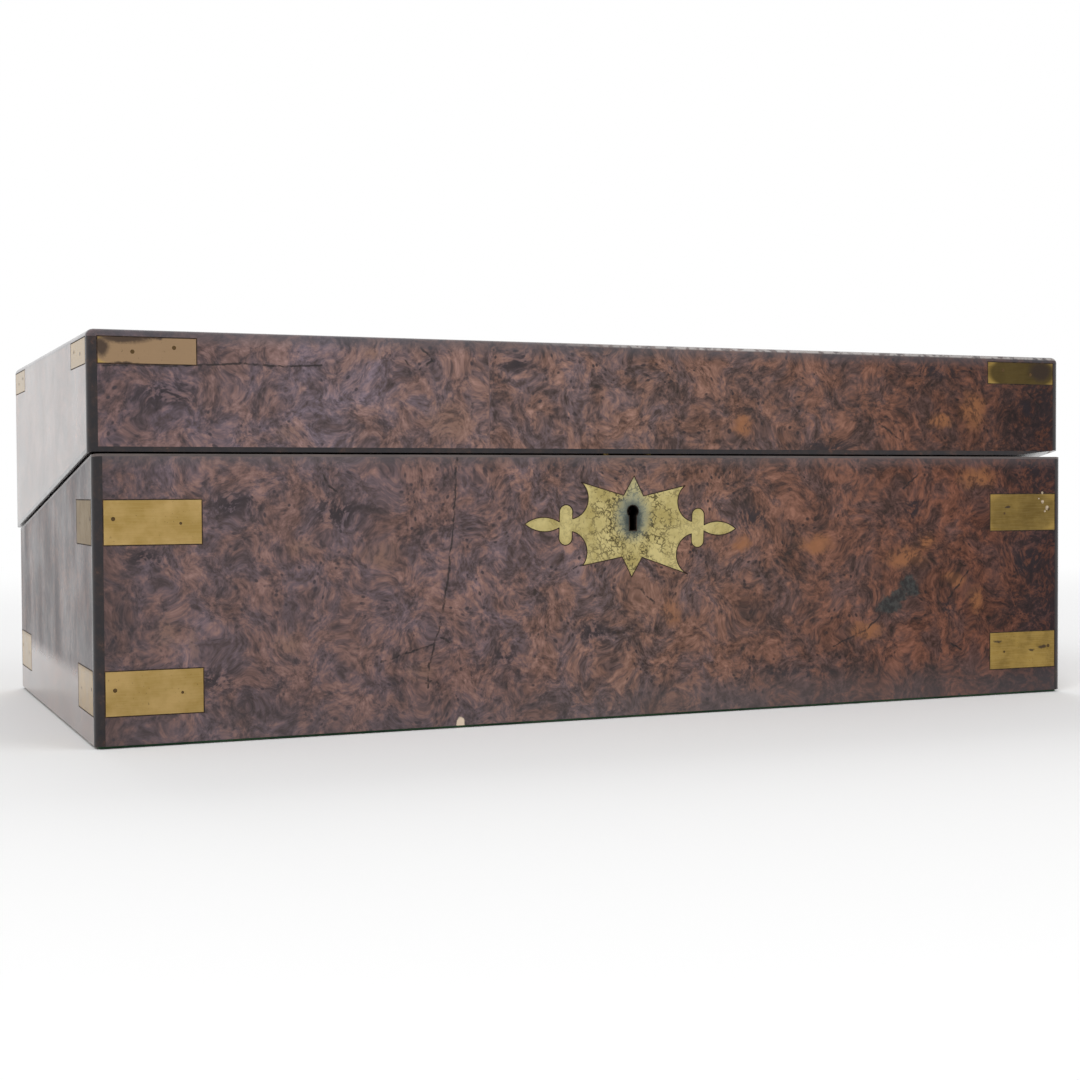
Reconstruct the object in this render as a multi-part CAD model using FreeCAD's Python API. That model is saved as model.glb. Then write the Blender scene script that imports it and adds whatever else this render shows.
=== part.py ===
import FreeCAD, Part
import math
import os
from FreeCAD import Vector

# A Victorian writing slope: a brass-bound burr walnut box that opens along a sloping
# split, so that the lid folds back flat and carries the slope on.
# Millimetres. Origin at the middle of the underside, lock side towards -Y, hinges at +Y,
# +Z up, lid closed.

# Overall sizes, closed
width = 470.0
depth = 244.0
height = 165.0
front_split_height = 116.5

# The sloping joint between base and lid
rim_gap = 0.8
hinge_offset = 0.5
lid_shift = 1.5
worn_corner_front = 26.0
worn_corner_side = 44.0
worn_corner_rise = 2.6

# Carcass
board = 10.0
veneer = 1.0
corner_moulding = 4.0
corner_radius = 3.5
floor_thickness = 6.0
baize_thickness = 1.0
baize_inset = 1.5
lid_top_thickness = 12.0
top_veneer = 0.8
top_moulding = 3.0
top_radius = 2.9
base_facing = 1.0
lid_facing = 2.0
tail_width = 15.0
tail_flare = 1.8
tail_pitch = 26.0

# Brass straps, let in flush beside the corner mouldings
strap_reach = 43.0
strap_height = 18.0
upper_strap_bottom = 80.0
lower_strap_bottom = 12.5
lid_strap_height = 10.6

# Escutcheon and keyhole
plate_centre_x = -0.6
plate_centre_z = 84.7
plate_tilt = 1.8
spike_half = 4.9
spike_shoulder = 13.6
spike_tip = 22.4
horn_upper = (25.5, 18.8)
horn_lower_right = (27.8, 20.8)
horn_lower_left = (24.0, 17.6)
bay_depth = 22.1
bay_middle = 10.4
neck_half = 2.8
cross_inner = 29.3
cross_width = 6.3
cross_half = 8.8
leaf_root = 1.3
leaf_half = 3.1
leaf_middle = 43.2
leaf_tip = 51.8
key_head_radius = 2.7
key_head_z = 91.4
key_slot_width = 3.6
key_slot_bottom = 82.8

# Lid hinges
hinge_x = 150.0
hinge_length = 50.0
leaf_width = 10.2
leaf_thickness = 1.6
knuckle_radius = 2.75
knuckle_count = 3
knuckle_gap = 0.15
pin_radius = 1.2
pin_fit = 0.05
barrel_clearance = 0.3

# Box lock and link plate
lock_width = 60.0
lock_drop = 35.0
lock_thickness = 8.0
lock_wall = 1.0
selvedge = 1.6
lock_ear = 7.8
staple_x = 10.5
staple_thickness = 2.2
staple_width = 4.2
staple_drop = 9.2
eye_width = 2.8
eye_height = 4.4
eye_centre = 5.8
staple_clearance = 0.5
bolt_travel = 5.0
bolt_thickness = 1.6
bolt_bar_height = 8.0
bolt_bar_drop = 11.0
finger_height = 3.0
finger_post = 3.2
finger_start_gap = 0.6
stud_radius = 1.6
stud_x = 7.0
stud_fit = 0.1
talon_width = 6.0
talon_depth = 2.5
drill_pin_radius = 0.9
drill_pin_back = 0.8

# Writing flaps
flap_thickness = 6.0
flap_below_rim = 0.6
flap_clearance = 0.5
flap_rest_gap = 0.4
leather_thickness = 0.8
leather_border = 16.0
finger_notch_radius = 9.0
finger_scoop_width = 26.0
finger_scoop_depth = 10.0
flap_hinge_x = 125.0
flap_hinge_length = 30.0
flap_knuckle_radius = 1.5
flap_knuckle_drop = 1.6
flap_pin_radius = 0.6
flap_leaf_thickness = 0.9
flap_leaf_height = 5.0
flap_axis_from_board = 2.8
flap_edge_gap = 0.9
flap_edge_round = 1.0
ledge_width = 5.0
ledge_height = 5.0

# Front section of the base, with pen tray and inkwells
section_depth = 50.0
partition = 6.0
ink_cell_width = 52.0
shelf_top = 50.0
shelf_thickness = 5.0
tray_bottom = 84.0
tray_below_rim = 0.8
tray_clearance = 0.3
trough_width = 40.0
trough_depth = 15.0
trough_end = 7.0
bearer_width = 8.0
bearer_height = 10.0

# Inkwells
well_side = 46.0
well_height = 40.0
well_bevel = 5.0
well_bore_radius = 10.5
well_floor = 6.0
neck_radius = 13.5
neck_height = 8.0
cap_half = 15.2
cap_sides = 8
cap_wall = 1.7
cap_skirt_gap = 0.6
cap_clearance = 0.3
cap_chamfer = 1.6

# Worked-out places
half_w = width / 2
half_d = depth / 2
wall = veneer + board
inner_x = half_w - wall
inner_y = half_d - wall
lid_left = -half_w - lid_shift
lid_right = half_w - lid_shift
hinge_y = half_d + hinge_offset
hinge_z = height / 2
slope = math.atan2(front_split_height - hinge_z, half_d + hinge_y)
rise = math.sin(slope)
run = math.cos(slope)
big = width + depth + height
half_gap = rim_gap / 2
base_wood_top = -half_gap - base_facing
lid_wood_bottom = half_gap + lid_facing
lid_side_top = height - top_veneer - lid_top_thickness
flap_face = half_gap + flap_below_rim
flap_back = flap_face + flap_thickness
ledge_face = flap_back + flap_rest_gap
section_back = -inner_y + section_depth
partition_back = section_back + partition
divider_x = inner_x - ink_cell_width
lock_y = -half_d + veneer + board / 2
lock_back = -inner_y
lock_front = lock_back - lock_thickness


def box(x0, x1, y0, y1, z0, z1):
    return Part.makeBox(x1 - x0, y1 - y0, z1 - z0, Vector(x0, y0, z0))


def join(shapes):
    result = shapes[0]
    for shape in shapes[1:]:
        result = result.fuse(shape)
    return result.removeSplitter()


def less(shape, tools):
    for tool in tools:
        shape = shape.cut(tool)
    return shape


def mirror_x(shape):
    return shape.mirror(Vector(0, 0, 0), Vector(1, 0, 0))


def on_slope(shape):
    """Places a shape drawn about the hinge axis, with the split plane at z = 0."""
    placed = shape.copy()
    placed.rotate(Vector(0, 0, 0), Vector(1, 0, 0), -math.degrees(slope))
    placed.translate(Vector(0, hinge_y, hinge_z))
    return placed


def slope_y(world_y, n):
    """Distance from the hinge axis, along the slope, of a place at world_y and height n."""
    return (world_y - hinge_y - n * rise) / run


def split_z(world_y, n=0.0):
    """Height of the plane that lies n above the split plane, at world_y."""
    return hinge_z - slope_y(world_y, n) * rise + n * run


def slab(n0, n1):
    return on_slope(box(-big, big, -big, big, n0, n1))


def below(n):
    return slab(-big, n)


def above(n):
    return slab(n, big)


def x_cylinder(radius, x0, x1, y, z):
    return Part.makeCylinder(radius, x1 - x0, Vector(x0, y, z), Vector(1, 0, 0))


def prism_x(points, x0, x1):
    """Solid with an outline of (y, z) points, between two planes across X."""
    wire = Part.makePolygon([Vector(x0, y, z) for y, z in points + points[:1]])
    return Part.Face(wire).extrude(Vector(x1 - x0, 0, 0))


def prism_z(points, z0, z1):
    wire = Part.makePolygon([Vector(x, y, z0) for x, y in points + points[:1]])
    return Part.Face(wire).extrude(Vector(0, 0, z1 - z0))


def upright_edges(shape):
    edges = []
    for edge in shape.Edges:
        a, b = edge.Vertexes[0].Point, edge.Vertexes[-1].Point
        if abs(a.x - b.x) < 1e-6 and abs(a.y - b.y) < 1e-6 and abs(a.z - b.z) > 1e-6:
            edges.append(edge)
    return edges


def edges_at_height(shape, z):
    return [e for e in shape.Edges if all(abs(v.Point.z - z) < 1e-6 for v in e.Vertexes)]


def rounded_block(x0, x1, y0, y1, z0, z1, radius):
    block = box(x0, x1, y0, y1, z0, z1)
    return block.makeFillet(radius, upright_edges(block))


# Outer forms that every outside piece is cut from
def base_form():
    return rounded_block(-half_w, half_w, -half_d, half_d, baize_thickness, height, corner_radius)


def lid_form():
    block = rounded_block(lid_left, lid_right, -half_d, half_d, 0, height, corner_radius)
    return block.makeFillet(top_radius, edges_at_height(block, height))


def worn_corner():
    """The lower front right corner of the lid is worn away to a shallow slant."""
    rim = half_gap
    y_front = slope_y(-half_d, rim)
    on_front = Vector(lid_right - worn_corner_front, y_front, rim)
    on_side = Vector(lid_right, y_front + worn_corner_side, rim)
    corner = Vector(lid_right, y_front, rim + worn_corner_rise)
    past_side = on_front + (corner - on_front) * 2
    past_front = on_side + (corner - on_side) * 2
    outline = [on_front, past_front, past_side, on_side, on_front]
    slant = Part.Face(Part.makePolygon(outline))
    return on_slope(slant.extrude(Vector(0, 0, -height)))


# Hinge leaves, shared by the lid hinges
def leaf_box(x, n_side):
    """The flat of one leaf; n_side is -1 in the base rim and 1 in the lid rim."""
    n_near, n_far = half_gap, half_gap + leaf_thickness
    z0, z1 = (n_near, n_far) if n_side > 0 else (-n_far, -n_near)
    return on_slope(box(x - hinge_length / 2, x + hinge_length / 2, -leaf_width, 0, z0, z1))


def knuckle_span(x, index):
    pitch = hinge_length / knuckle_count
    start = x - hinge_length / 2 + index * pitch
    return start + knuckle_gap / 2, start + pitch - knuckle_gap / 2


def barrel_room(x):
    """The square notch in the back of the box that the hinge's barrel lies in."""
    room = knuckle_radius + barrel_clearance
    return on_slope(box(x - hinge_length / 2, x + hinge_length / 2, -room, room, -room, room))


def hinge_leaf(x, n_side):
    own = [i for i in range(knuckle_count) if (i % 2 == 0) == (n_side < 0)]
    others = [i for i in range(knuckle_count) if i not in own]
    leaf = leaf_box(x, n_side)
    for index in others:
        x0, x1 = knuckle_span(x, index)
        room = knuckle_radius + barrel_clearance
        leaf = leaf.cut(x_cylinder(room, x0 - knuckle_gap, x1 + knuckle_gap, hinge_y, hinge_z))
    for index in own:
        x0, x1 = knuckle_span(x, index)
        leaf = leaf.fuse(x_cylinder(knuckle_radius, x0, x1, hinge_y, hinge_z))
    bore = x_cylinder(pin_radius + pin_fit, x - hinge_length, x + hinge_length, hinge_y, hinge_z)
    return leaf.removeSplitter().cut(bore)


def hinge_leaves(n_side):
    return [hinge_leaf(side * hinge_x, n_side) for side in (-1, 1)]


def hinge_pins():
    half = hinge_length / 2
    return [x_cylinder(pin_radius, s * hinge_x - half, s * hinge_x + half, hinge_y, hinge_z)
            for s in (-1, 1)]


def hinge_recesses(n_side):
    tools = []
    for side in (-1, 1):
        tools.append(leaf_box(side * hinge_x, n_side))
        tools.append(barrel_room(side * hinge_x))
    return tools


# Carcass joints and boards
def tails(x0, x1, y_root, y_end, z_low, z_high):
    """Dovetails on the end of a side board, which fill sockets in the board they meet."""
    count = max(1, int((z_high - z_low) / tail_pitch))
    pitch = (z_high - z_low) / count
    shapes = []
    for index in range(count):
        centre = z_low + (index + 0.5) * pitch
        root, end = tail_width / 2 - tail_flare / 2, tail_width / 2 + tail_flare / 2
        outline = [(y_root, centre - root), (y_root, centre + root),
                   (y_end, centre + end), (y_end, centre - end)]
        shapes.append(prism_x(outline, x0, x1))
    return shapes


def corner_posts(x_left, x_right):
    size = corner_moulding
    posts = []
    for x in (x_left, x_right - size):
        for y in (-half_d, half_d - size):
            posts.append(box(x, x + size, y, y + size, 0, height))
    return posts


def base_tails(x0, x1):
    front = tails(x0, x1, -inner_y, -half_d + veneer, baize_thickness,
                  split_z(-inner_y, base_wood_top))
    back = tails(x0, x1, inner_y, half_d - veneer, baize_thickness,
                 split_z(half_d - veneer, base_wood_top))
    return front + back


def lid_tails(x0, x1):
    front = tails(x0, x1, -inner_y, -half_d + veneer,
                  split_z(-half_d + veneer, lid_wood_bottom), lid_side_top)
    back = tails(x0, x1, inner_y, half_d - veneer,
                 split_z(inner_y, lid_wood_bottom), lid_side_top)
    return front + back


def carcass(x_left, x_right, z0, z1, cut_to, tails_for):
    """Front, back, left and right boards, dovetailed at the corners."""
    posts = corner_posts(x_left, x_right)
    x0, x1 = x_left + veneer, x_right - veneer
    left_tails = tails_for(x0, x0 + board)
    right_tails = tails_for(x1 - board, x1)
    all_tails = left_tails + right_tails
    front = box(x0, x1, -half_d + veneer, -inner_y, z0, z1)
    back = box(x0, x1, inner_y, half_d - veneer, z0, z1)
    left = join([box(x0, x0 + board, -inner_y, inner_y, z0, z1)] + left_tails)
    right = join([box(x1 - board, x1, -inner_y, inner_y, z0, z1)] + right_tails)
    front, back = less(front, all_tails), less(back, all_tails)
    return [less(piece.common(cut_to), posts) for piece in (front, back, left, right)]


def mitred_facings(form, x_left, x_right, n0, n1):
    """Four thin strips that cover the rim, mitred at the corners."""
    x0, x1, y0, y1 = x_left, x_right, -half_d, half_d
    i0, i1, j0, j1 = x0 + wall, x1 - wall, y0 + wall, y1 - wall
    outlines = [
        [(x0, y0), (x1, y0), (i1, j0), (i0, j0)],
        [(x1, y0), (x1, y1), (i1, j1), (i1, j0)],
        [(x1, y1), (x0, y1), (i0, j1), (i1, j1)],
        [(x0, y1), (x0, y0), (i0, j0), (i0, j1)],
    ]
    ring = form.common(slab(n0, n1))
    return [ring.common(prism_z(outline, 0, height)) for outline in outlines]


# Brass straps
def strap_pair(x_left, x_right, side_x, side_y, z0, z1):
    """One strap's two legs, on the long face and on the end face beside a corner."""
    near, far = corner_moulding, strap_reach
    y_face = side_y * half_d
    y0, y1 = sorted((y_face, y_face - side_y * veneer))
    corner_x = x_right if side_x > 0 else x_left
    x0, x1 = sorted((corner_x - side_x * near, corner_x - side_x * far))
    long_leg = box(x0, x1, y0, y1, z0, z1)
    x0, x1 = sorted((corner_x, corner_x - side_x * veneer))
    y0, y1 = sorted((y_face - side_y * near, y_face - side_y * far))
    return [long_leg, box(x0, x1, y0, y1, z0, z1)]


def base_straps():
    legs = []
    for side_x in (-1, 1):
        for side_y in (-1, 1):
            bottoms = (lower_strap_bottom, upper_strap_bottom) if side_y < 0 else (lower_strap_bottom,)
            for z0 in bottoms:
                legs += strap_pair(-half_w, half_w, side_x, side_y, z0, z0 + strap_height)
    return legs


def lid_straps():
    legs = []
    z1 = height - top_moulding
    for side_x in (-1, 1):
        for side_y in (-1, 1):
            legs += strap_pair(lid_left, lid_right, side_x, side_y, z1 - lid_strap_height, z1)
    return legs


# Escutcheon
def plate_quarter(side_x, side_z, horn):
    """A quarter of the outline, from the spike's tip to the leaf's tip."""
    def at(x, z):
        return Vector(side_x * x, 0, side_z * z)

    cross_outer = cross_inner + cross_width
    cross_middle = cross_inner + cross_width / 2
    shoulder = cross_half - cross_width / 2
    return [
        Part.LineSegment(at(0, spike_tip), at(spike_half, spike_shoulder)).toShape(),
        Part.LineSegment(at(spike_half, spike_shoulder), at(*horn)).toShape(),
        Part.Arc(at(*horn), at(bay_depth, bay_middle), at(cross_inner, neck_half)).toShape(),
        Part.LineSegment(at(cross_inner, neck_half), at(cross_inner, shoulder)).toShape(),
        Part.Arc(at(cross_inner, shoulder), at(cross_middle, cross_half),
                 at(cross_outer, shoulder)).toShape(),
        Part.LineSegment(at(cross_outer, shoulder), at(cross_outer, leaf_root)).toShape(),
        Part.Arc(at(cross_outer, leaf_root), at(leaf_middle, leaf_half), at(leaf_tip, 0)).toShape(),
    ]


def keyhole(y0, y1):
    half = key_slot_width / 2
    x = plate_centre_x
    head = Part.makeCylinder(key_head_radius, y1 - y0, Vector(x, y0, key_head_z), Vector(0, 1, 0))
    return head.fuse(box(x - half, x + half, y0, y1, key_slot_bottom, key_head_z))


def escutcheon_blank():
    edges = plate_quarter(-1, 1, horn_upper) + plate_quarter(1, 1, horn_upper)
    edges += plate_quarter(1, -1, horn_lower_right) + plate_quarter(-1, -1, horn_lower_left)
    wire = Part.Wire(Part.sortEdges(edges)[0])
    plate = Part.Face(wire).extrude(Vector(0, veneer, 0))
    plate.rotate(Vector(0, 0, 0), Vector(0, 1, 0), plate_tilt)
    plate.translate(Vector(plate_centre_x, -half_d, plate_centre_z))
    return plate


# Box lock
def selvedge_box(n_side):
    """The flat rim plate of the lock (n_side -1) or of the link plate (n_side 1)."""
    n_near, n_far = half_gap, half_gap + selvedge
    z0, z1 = (n_near, n_far) if n_side > 0 else (-n_far, -n_near)
    column = box(plate_centre_x - lock_width / 2, plate_centre_x + lock_width / 2,
                 lock_front, lock_back, 0, height)
    return column.common(slab(z0, z1))


def staple_middle_y():
    return slope_y(lock_y + lock_wall / 2, -eye_centre)


def staple_block(x, extra):
    y = staple_middle_y()
    half_x, half_y = staple_thickness / 2 + extra, staple_width / 2 + extra
    return on_slope(box(x - half_x, x + half_x, y - half_y, y + half_y,
                        half_gap - staple_drop - extra, half_gap))


def staple_places():
    return [plate_centre_x - staple_x, plate_centre_x + staple_x]


def lock_room():
    """The mortise in the front board, from the keyhole wall to the inner face."""
    x0, x1 = plate_centre_x - lock_case_half(), plate_centre_x + lock_case_half()
    top = split_z(-half_d)
    return box(x0, x1, lock_front, lock_back, top - lock_drop, top).common(below(-half_gap))


def lock_case_half():
    """The rim plate runs past the case at each end, where a screw holds it."""
    return lock_width / 2 - lock_ear


def lock_studs(extra):
    y0, y1 = lock_front, lock_back - lock_wall
    z = bolt_bar_bottom() + bolt_bar_height / 2
    studs = []
    for s in (-1, 1):
        place = Vector(plate_centre_x + s * stud_x, y0, z)
        studs.append(Part.makeCylinder(stud_radius + extra, y1 - y0, place, Vector(0, 1, 0)))
    return studs


def bolt_bar_bottom():
    return split_z(lock_y) - bolt_bar_drop - bolt_bar_height


def lock_case():
    room = lock_room().common(below(-half_gap - selvedge))
    half = lock_case_half() - lock_wall
    bottom = split_z(-half_d) - lock_drop + lock_wall
    hollow = box(plate_centre_x - half, plate_centre_x + half, lock_front + lock_wall, big,
                 bottom, height).common(below(-half_gap - selvedge))
    case = room.cut(hollow)
    case = case.cut(box(-big, big, lock_back - lock_wall, big, 0, height))
    case = join([case, selvedge_box(-1)] + lock_studs(0))
    slots = [staple_block(x, staple_clearance) for x in staple_places()]
    return less(case, slots + [keyhole(-half_d, lock_y)])


def lock_cap():
    """The cover plate on the inner face, with the drill pin that the key turns on."""
    room = lock_room().common(below(-half_gap - selvedge))
    plate = room.common(box(-big, big, lock_back - lock_wall, lock_back, 0, height))
    place = Vector(plate_centre_x, lock_front + drill_pin_back, key_head_z)
    pin = Part.makeCylinder(drill_pin_radius, lock_back - place.y, place, Vector(0, 1, 0))
    return join([plate, pin])


def lock_bolt():
    """A bar with two fingers that slide through the eyes of the link plate."""
    y = lock_y + lock_wall / 2
    y0, y1 = y - bolt_thickness / 2, y + bolt_thickness / 2
    z0 = bolt_bar_bottom()
    z1 = z0 + bolt_bar_height
    finger_z = split_z(y, -eye_centre)
    half_finger = finger_height / 2
    first, second = staple_places()
    tip_gap = staple_thickness / 2 + finger_start_gap
    bar_start = first - tip_gap - bolt_travel - finger_post
    bar_end = second + staple_thickness / 2
    pieces = [box(bar_start, bar_end, y0, y1, z0, z1)]
    for x in (first, second):
        tip = x - tip_gap
        post = tip - bolt_travel
        pieces.append(box(post - finger_post, post, y0, y1, z1 - 1, finger_z + half_finger))
        pieces.append(box(post - finger_post, tip, y0, y1, finger_z - half_finger,
                          finger_z + half_finger))
    bolt = join(pieces)
    radius = stud_radius + stud_fit
    z = z0 + bolt_bar_height / 2
    for s in (-1, 1):
        x = plate_centre_x + s * stud_x
        for shift in (0, -bolt_travel):
            bolt = bolt.cut(Part.makeCylinder(radius, bolt_thickness * 3,
                                              Vector(x + shift, y0 - bolt_thickness, z), Vector(0, 1, 0)))
        bolt = bolt.cut(box(x - bolt_travel, x, y0 - 1, y1 + 1, z - radius, z + radius))
    half = talon_width / 2
    talon_x = plate_centre_x - bolt_travel / 2
    return bolt.cut(box(talon_x - half, talon_x + half, y0 - 1, y1 + 1, z0 - 1, z0 + talon_depth))


def link_plate():
    plate = selvedge_box(1)
    eye_y = staple_middle_y()
    half_eye, half_high = eye_width / 2, eye_height / 2
    for x in staple_places():
        block = staple_block(x, 0)
        eye = on_slope(box(x - staple_thickness, x + staple_thickness, eye_y - half_eye,
                           eye_y + half_eye, -eye_centre - half_high, -eye_centre + half_high))
        plate = plate.fuse(block.cut(eye))
    return plate.removeSplitter()


# Writing flaps
def flap_axis(n_side):
    """Place of a flap's hinge axis, as (y along the slope, height above the split plane)."""
    n = n_side * (flap_face + flap_knuckle_drop)
    return slope_y(inner_y - flap_axis_from_board, n), n


def flap_limits(n_side):
    """x0, x1, y_front and y_back of a flap, the y along the slope."""
    depths = (flap_face, flap_back)
    y_back = min(slope_y(inner_y - flap_edge_gap, n_side * depth) for depth in depths)
    if n_side < 0:
        x0, x1 = -inner_x + flap_clearance, inner_x - flap_clearance
        y_front = slope_y(section_back, -flap_back)
    else:
        x0, x1 = lid_left + wall + flap_clearance, lid_right - wall - flap_clearance
        y_front = slope_y(-inner_y + flap_clearance, flap_face)
    return x0, x1, y_front, y_back


def flap_slice(x0, x1, y0, y1, n_side, depth0, depth1):
    """A block in a flap, its depths measured from the split plane into the flap's own half."""
    z0, z1 = sorted((n_side * depth0, n_side * depth1))
    return on_slope(box(x0, x1, y0, y1, z0, z1))


def flap_knuckle_room(n_side, x, extra):
    axis_y, axis_n = flap_axis(n_side)
    half = flap_hinge_length / 2 + extra
    y_back = axis_y + flap_axis_from_board
    y_front = axis_y - flap_knuckle_radius - flap_leaf_thickness
    return flap_slice(x - half, x + half, y_front, y_back, n_side, 0, flap_back + 1)


def leather_place(n_side, depth0, depth1):
    x0, x1, y0, y1 = flap_limits(n_side)
    edge = leather_border
    return flap_slice(x0 + edge, x1 - edge, y0 + edge, y1 - edge, n_side, depth0, depth1)


def flap_board(n_side):
    x0, x1, y0, y1 = flap_limits(n_side)
    z0, z1 = sorted((n_side * flap_face, n_side * flap_back))
    block = box(x0, x1, y0, y1, z0, z1)
    face_n = n_side * flap_face
    back_edges = [e for e in block.Edges
                  if all(abs(v.Point.y - y1) < 1e-6 and abs(v.Point.z - face_n) < 1e-6
                         for v in e.Vertexes)]
    block = on_slope(block.makeFillet(flap_edge_round, back_edges))
    notch = Part.makeCylinder(finger_notch_radius, 2 * flap_back, Vector(0, y0, -flap_back))
    if n_side > 0:
        notch.translate(Vector((x0 + x1) / 2, 0, 0))
    block = block.cut(on_slope(notch))
    block = block.cut(leather_place(n_side, 0, flap_face + leather_thickness))
    for side in (-1, 1):
        block = block.cut(flap_knuckle_room(n_side, side * flap_hinge_x, flap_rest_gap))
    return block


def flap_leather(n_side):
    return leather_place(n_side, flap_face, flap_face + leather_thickness)


def world_axis(n_side):
    y, n = flap_axis(n_side)
    return hinge_y + y * run + n * rise, hinge_z - y * rise + n * run


def flap_spans(x):
    third = flap_hinge_length / 3
    start = x - flap_hinge_length / 2
    gap = knuckle_gap / 2
    return [(start + i * third + gap, start + (i + 1) * third - gap) for i in range(3)]


def flap_bore(x, n_side):
    y, z = world_axis(n_side)
    return x_cylinder(flap_pin_radius + pin_fit, x - flap_hinge_length, x + flap_hinge_length, y, z)


def flap_fixed_leaf(x, n_side):
    """The leaf on the carcass: an upright plate, its two knuckles and the pin riveted in them."""
    y, z = world_axis(n_side)
    spans = flap_spans(x)
    z0, z1 = sorted((z, z + n_side * flap_leaf_height))
    half = flap_hinge_length / 2
    leaf = box(x - half, x + half, inner_y - flap_leaf_thickness, inner_y, z0, z1)
    for x0, x1 in (spans[0], spans[2]):
        leaf = leaf.fuse(x_cylinder(flap_knuckle_radius, x0, x1, y, z))
        z0, z1 = sorted((z, z + n_side * flap_knuckle_radius))
        leaf = leaf.fuse(box(x0, x1, y, inner_y, z0, z1))
    return join([leaf, x_cylinder(flap_pin_radius, spans[0][0], spans[2][1], y, z)])


def flap_moving_leaf(x, n_side):
    """The leaf on the flap's back edge, with the middle knuckle."""
    y, z = world_axis(n_side)
    axis_y, axis_n = flap_axis(n_side)
    depth0 = abs(axis_n)
    spans = flap_spans(x)
    half = flap_hinge_length / 2
    y1 = axis_y - flap_knuckle_radius
    y0 = y1 - flap_leaf_thickness
    leaf = flap_slice(x - half, x + half, y0, y1, n_side, depth0, flap_back)
    x0, x1 = spans[1]
    leaf = leaf.fuse(x_cylinder(flap_knuckle_radius, x0, x1, y, z))
    web = flap_slice(x0, x1, y0, axis_y, n_side, depth0, depth0 + flap_knuckle_radius)
    leaf = leaf.fuse(web)
    return leaf.removeSplitter().cut(flap_bore(x, n_side))


def flap_leaves(n_side, make):
    return [make(side * flap_hinge_x, n_side) for side in (-1, 1)]


def ledges(n_side):
    """Strips on the end walls, and on the front wall of the lid, that a flap closes on to.

    The front ones stop short of the middle, where a finger lifts the flap.
    """
    z0, z1 = sorted((n_side * ledge_face, n_side * (ledge_face + ledge_height)))
    bar = on_slope(box(-big, big, -big, big, z0, z1))
    if n_side < 0:
        x0, x1, y0 = -inner_x, inner_x, partition_back
    else:
        x0, x1, y0 = lid_left + wall, lid_right - wall, -inner_y
    strips = [box(x0, x0 + ledge_width, y0, inner_y, 0, height),
              box(x1 - ledge_width, x1, y0, inner_y, 0, height)]
    if n_side > 0:
        middle, half_gap_x = (x0 + x1) / 2, finger_scoop_width / 2
        y1 = y0 + ledge_width
        strips.append(box(x0 + ledge_width, middle - half_gap_x, y0, y1, 0, height))
        strips.append(box(middle + half_gap_x, x1 - ledge_width, y0, y1, 0, height))
    return [strip.common(bar) for strip in strips]


# Front section of the base
def section_partition():
    """The wall behind the pen tray, scooped at the middle for the finger that lifts the flap."""
    low = baize_thickness + floor_thickness
    wall_board = box(-inner_x, inner_x, section_back, partition_back, low, height)
    half = finger_scoop_width / 2
    scoop_bottom = split_z(section_back, -ledge_face) - finger_scoop_depth
    scoop = box(-half, half, section_back, partition_back, scoop_bottom, height)
    return wall_board.common(below(-ledge_face)).cut(scoop)


def section_box(x0, x1, z0, top_n):
    return box(x0, x1, -inner_y, section_back, z0, height).common(below(top_n))


def tray_top_n():
    return -half_gap - tray_below_rim


def pen_tray():
    gap = tray_clearance
    length = divider_x - partition - gap
    block = box(-length, length, -inner_y + gap, section_back - gap, tray_bottom, height)
    block = block.common(below(tray_top_n()))
    middle_y = (-inner_y + section_back) / 2
    top = split_z(middle_y, tray_top_n())
    radius = (trough_width ** 2 / 4 + trough_depth ** 2) / (2 * trough_depth)
    scoop_half = length - trough_end
    scoop = x_cylinder(radius, -scoop_half, scoop_half, middle_y, top - trough_depth + radius)
    return block.cut(scoop)


def inkwell_places():
    x = inner_x - ink_cell_width / 2
    y = (-inner_y + section_back) / 2
    return [(-x, y), (x, y)]


def inkwell(x, y):
    half = well_side / 2
    z0 = shelf_top
    body = box(x - half, x + half, y - half, y + half, z0, z0 + well_height)
    body = body.makeChamfer(well_bevel, upright_edges(body))
    neck = Part.makeCylinder(neck_radius, neck_height, Vector(x, y, z0 + well_height))
    bore = Part.makeCylinder(well_bore_radius, well_height + neck_height - well_floor,
                             Vector(x, y, z0 + well_floor))
    return join([body, neck]).cut(bore)


def inkwell_cap(x, y):
    """An eight-sided screw cap, so that fingers can turn it."""
    shoulder = shelf_top + well_height
    top = shoulder + neck_height + cap_clearance + cap_wall
    bottom = shoulder + cap_skirt_gap
    corner = cap_half / math.cos(math.pi / cap_sides)
    turns = [(i + 0.5) * 2 * math.pi / cap_sides for i in range(cap_sides)]
    block = prism_z([(x + corner * math.cos(t), y + corner * math.sin(t)) for t in turns], bottom, top)
    block = block.makeChamfer(cap_chamfer, edges_at_height(block, top))
    inner = neck_radius + cap_clearance
    return block.cut(Part.makeCylinder(inner, top - cap_wall - bottom, Vector(x, y, bottom)))


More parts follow.
